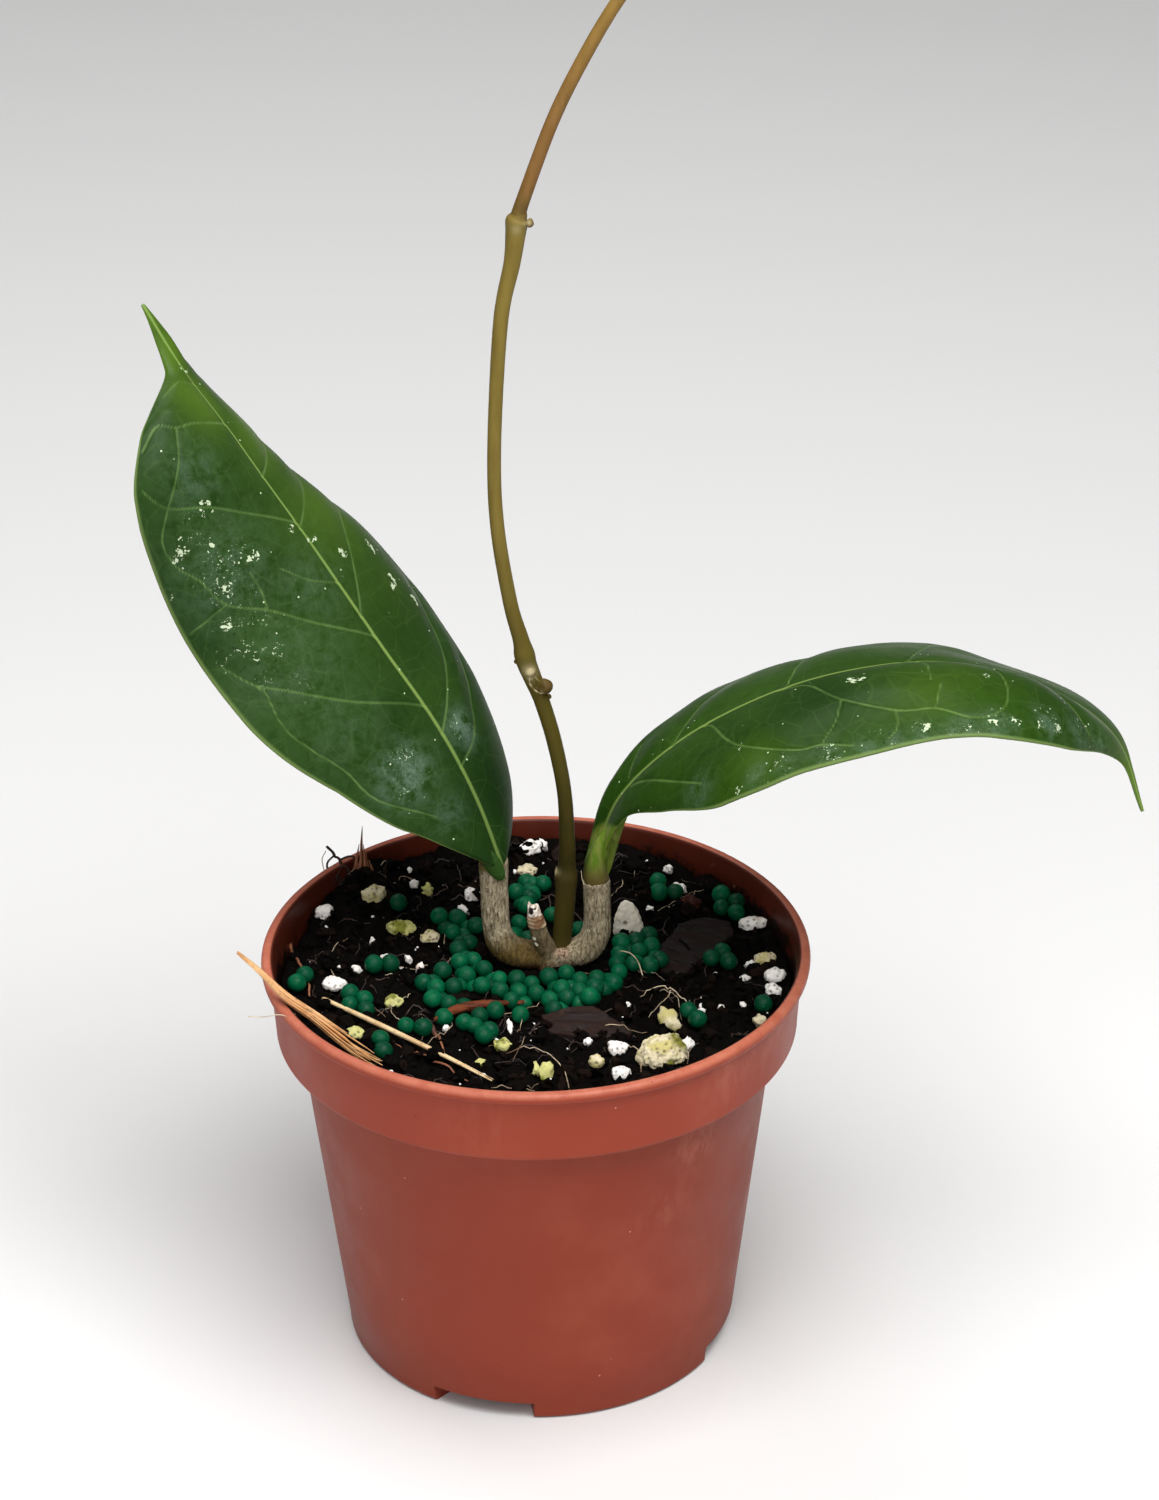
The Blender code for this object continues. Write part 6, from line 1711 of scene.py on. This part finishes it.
# loose threads that stand clear of the mix: on the right joint, over the feed pellets, and out over the lip
FREE_THREADS = [
    ([(10.0, 3.4, 111.8), (10.2, 3.3, 109.8), (10.6, 3.4, 108.2)], 0.08),
    ([(18.4, 0.4, 93.3), (20.6, -0.9, 93.4), (22.2, -3.0, 92.6), (23.2, -5.6, 90.6)], 0.15),
    ([(-61.2, -28.2, 94.9), (-57.5, -28.4, 94.9), (-54.0, -27.7, 94.9), (-50.5, -26.5, 92.0)], 0.12),
]
# a splintered shard of bark and black twigs that stand up at the back left, as (points, radius)
SHARD_TIP = Vector((-39.3, 40.0, 103.0))
SHARD_SPLINTERS = 9
RIM_TWIGS = [
    ([(-47.4, 38.0, 98.9), (-46.0, 38.0, 97.3), (-45.6, 38.0, 96.2), (-44.6, 38.0, 95.4),
      (-43.5, 37.0, 91.0)], 0.34),
    ([(-45.9, 38.2, 96.3), (-47.2, 37.8, 95.0), (-47.4, 37.5, 93.5), (-46.8, 37.0, 90.5)], 0.26),
    ([(-44.4, 38.5, 95.2), (-42.4, 39.0, 95.7), (-40.9, 39.0, 95.0), (-39.5, 38.0, 92.0)], 0.28),
    ([(-46.3, 37.0, 91.0), (-44.8, 36.8, 94.0), (-42.8, 36.2, 94.4), (-41.6, 35.2, 91.0)], 0.24),
]
RIM_HAIRS = [
    ([(-47.6, 37.9, 97.8), (-48.5, 37.4, 95.6), (-47.7, 37.0, 91.5)], 0.13),
    ([(-41.2, 37.0, 93.6), (-43.6, 35.4, 91.9), (-45.2, 32.5, 89.8)], 0.10),
    ([(-36.4, 39.0, 91.0), (-34.6, 40.0, 93.8), (-33.2, 41.0, 92.0)], 0.12),
]
TANGLE_CENTRE = Vector((-41.5, 36.0, 91.0))
TANGLE_HAIRS = 26


def lying(points, lift, steps, waviness, draw):
    """A thin strand over the mix: it follows the surface and lifts off it in the middle."""
    shift = draw.uniform(0.0, 90.0)
    route = []
    for k in range(steps + 1):
        share = k / steps
        place = curve_through([(x, y, 0.0) for x, y in points], share)
        place.x += waviness * noise.noise(Vector((shift, 3.0 * share, 0.0)))
        place.y += waviness * noise.noise(Vector((0.0, 3.0 * share, shift)))
        ground = max(top_of_mix(place.x, place.y), mix_height(place.x, place.y) - 0.6)
        route.append(Vector((place.x, place.y, ground + 0.1 + lift * math.sin(math.pi * share))))
    return route


def random_line(draw, reach, longest):
    """A bent line somewhere on the mix, or nothing where it would cross the rim."""
    angle = draw.uniform(0, 2 * math.pi)
    away = reach * math.sqrt(draw.random())
    heading = draw.uniform(0, 2 * math.pi)
    length = draw.uniform(0.3, 1.0) * longest
    bend = draw.uniform(-1.2, 1.2)
    x, y = away * math.cos(angle), away * math.sin(angle)
    line = [(x, y)]
    for k in range(3):
        x += length / 3 * math.cos(heading + bend * k / 2)
        y += length / 3 * math.sin(heading + bend * k / 2)
        line.append((x, y))
    return line if all(math.hypot(*point) < FIBRE_ROOM for point in line) else None


root_draw = random.Random(41)
root_routes = []
for line in ROOT_LINES:
    root_routes.append((lying(line, 1.4, 18, 0.5, root_draw), [0.13] * 19))
while len(root_routes) < ROOT_COUNT:
    line = random_line(root_draw, ROOT_ROOM, ROOT_LENGTH)
    if line and clear_spot(*line[1], 0.0):
        thick = root_draw.uniform(0.05, 0.11)
        root_routes.append((lying(line, root_draw.uniform(0.2, 1.8), 12, 0.9, root_draw), [thick] * 13))
for points, thick in FREE_THREADS + RIM_HAIRS:
    root_routes.append(smooth_route(points, [thick] * len(points), 12))
fibre_routes = []
while len(fibre_routes) < FIBRE_COUNT:
    line = random_line(root_draw, FIBRE_ROOM, FIBRE_LENGTH)
    if line and clear_spot(*line[1], 0.0):
        thick = root_draw.uniform(0.08, 0.22)
        fibre_routes.append((lying(line, root_draw.uniform(0.0, 1.0), 6, 1.2, root_draw), [thick] * 7))
for k in range(TANGLE_HAIRS):
    base = TANGLE_CENTRE + Vector((root_draw.uniform(-5.0, 6.0), root_draw.uniform(-2.5, 2.5), 0.0))
    lean = Vector((root_draw.uniform(-2.5, 2.5), root_draw.uniform(-1.5, 1.5), root_draw.uniform(1.5, 5.0)))
    bend = Vector((root_draw.uniform(-1.5, 1.5), root_draw.uniform(-1.0, 1.0), 0.0))
    thick = root_draw.uniform(0.06, 0.16)
    fibre_routes.append(smooth_route([base, base + 0.6 * lean + bend, base + lean],
                                     [thick, thick, 0.5 * thick], 8))
for points, thick in RIM_TWIGS:
    fibre_routes.append(smooth_route(points, [thick] * (len(points) - 1) + [0.5 * thick], 16))
twig_routes = [
    (lying([(-55.0, 17.6), (-53.4, 8.0), (-50.8, 0.0), (-49.2, -4.9)], 0.8, 22, 1.0, root_draw),
     [0.42 * (1.0 - 0.5 * k / 22) for k in range(23)]),
    (lying([(-30.0, -25.8), (-20.0, -35.0), (-10.2, -44.4)], 0.5, 22, 0.3, root_draw),
     [0.26 * (1.0 - 0.6 * abs(2 * k / 22 - 1.0)) for k in range(23)]),
    (lying([(-23.8, -16.5), (-21.4, -24.0), (-19.1, -31.8)], 0.9, 22, 0.2, root_draw),
     [0.75 * (1.0 - 0.85 * k / 22) for k in range(23)]),
]
for k in range(SHARD_SPLINTERS):
    share = k / (SHARD_SPLINTERS - 1)
    base = Vector((-41.8 + 4.8 * share, 35.0 + 3.0 * root_draw.random(), 90.4))
    reach = 1.0 if k == SHARD_SPLINTERS // 2 else root_draw.uniform(0.35, 0.75)
    end = base + (SHARD_TIP - base) * reach
    middle = (base + end) / 2 + Vector((root_draw.uniform(-0.4, 0.4), root_draw.uniform(-0.4, 0.4), 0.3))
    twig_routes.append(smooth_route([base, middle, end], [0.52, 0.36, 0.06], 14))


def strand_finish(name, light, dark):
    dry = Finish(name, 0.7)
    dry.feed("Base Color", dry.blend(dry.fade(dry.grain(120.0, 4.0, 0.7), 0.35, 0.65), dark, light))
    dry.relief(dry.grain(2500.0, 2.0), 0.04)
    return dry


root_finish = strand_finish("dry_roots", colour(206, 188, 158), colour(104, 76, 52))
placed(strands("dry_roots", root_routes, 4), "straw", root_finish)
fibre_finish = strand_finish("peat_fibres", colour(54, 34, 24), colour(12, 8, 6))
placed(strands("peat_fibres", fibre_routes, 4), "potting_mix", fibre_finish)
twig_finish = strand_finish("twigs", colour(150, 92, 60), colour(60, 30, 18))
placed(strands("twigs", twig_routes, 8), "bark_red", twig_finish)
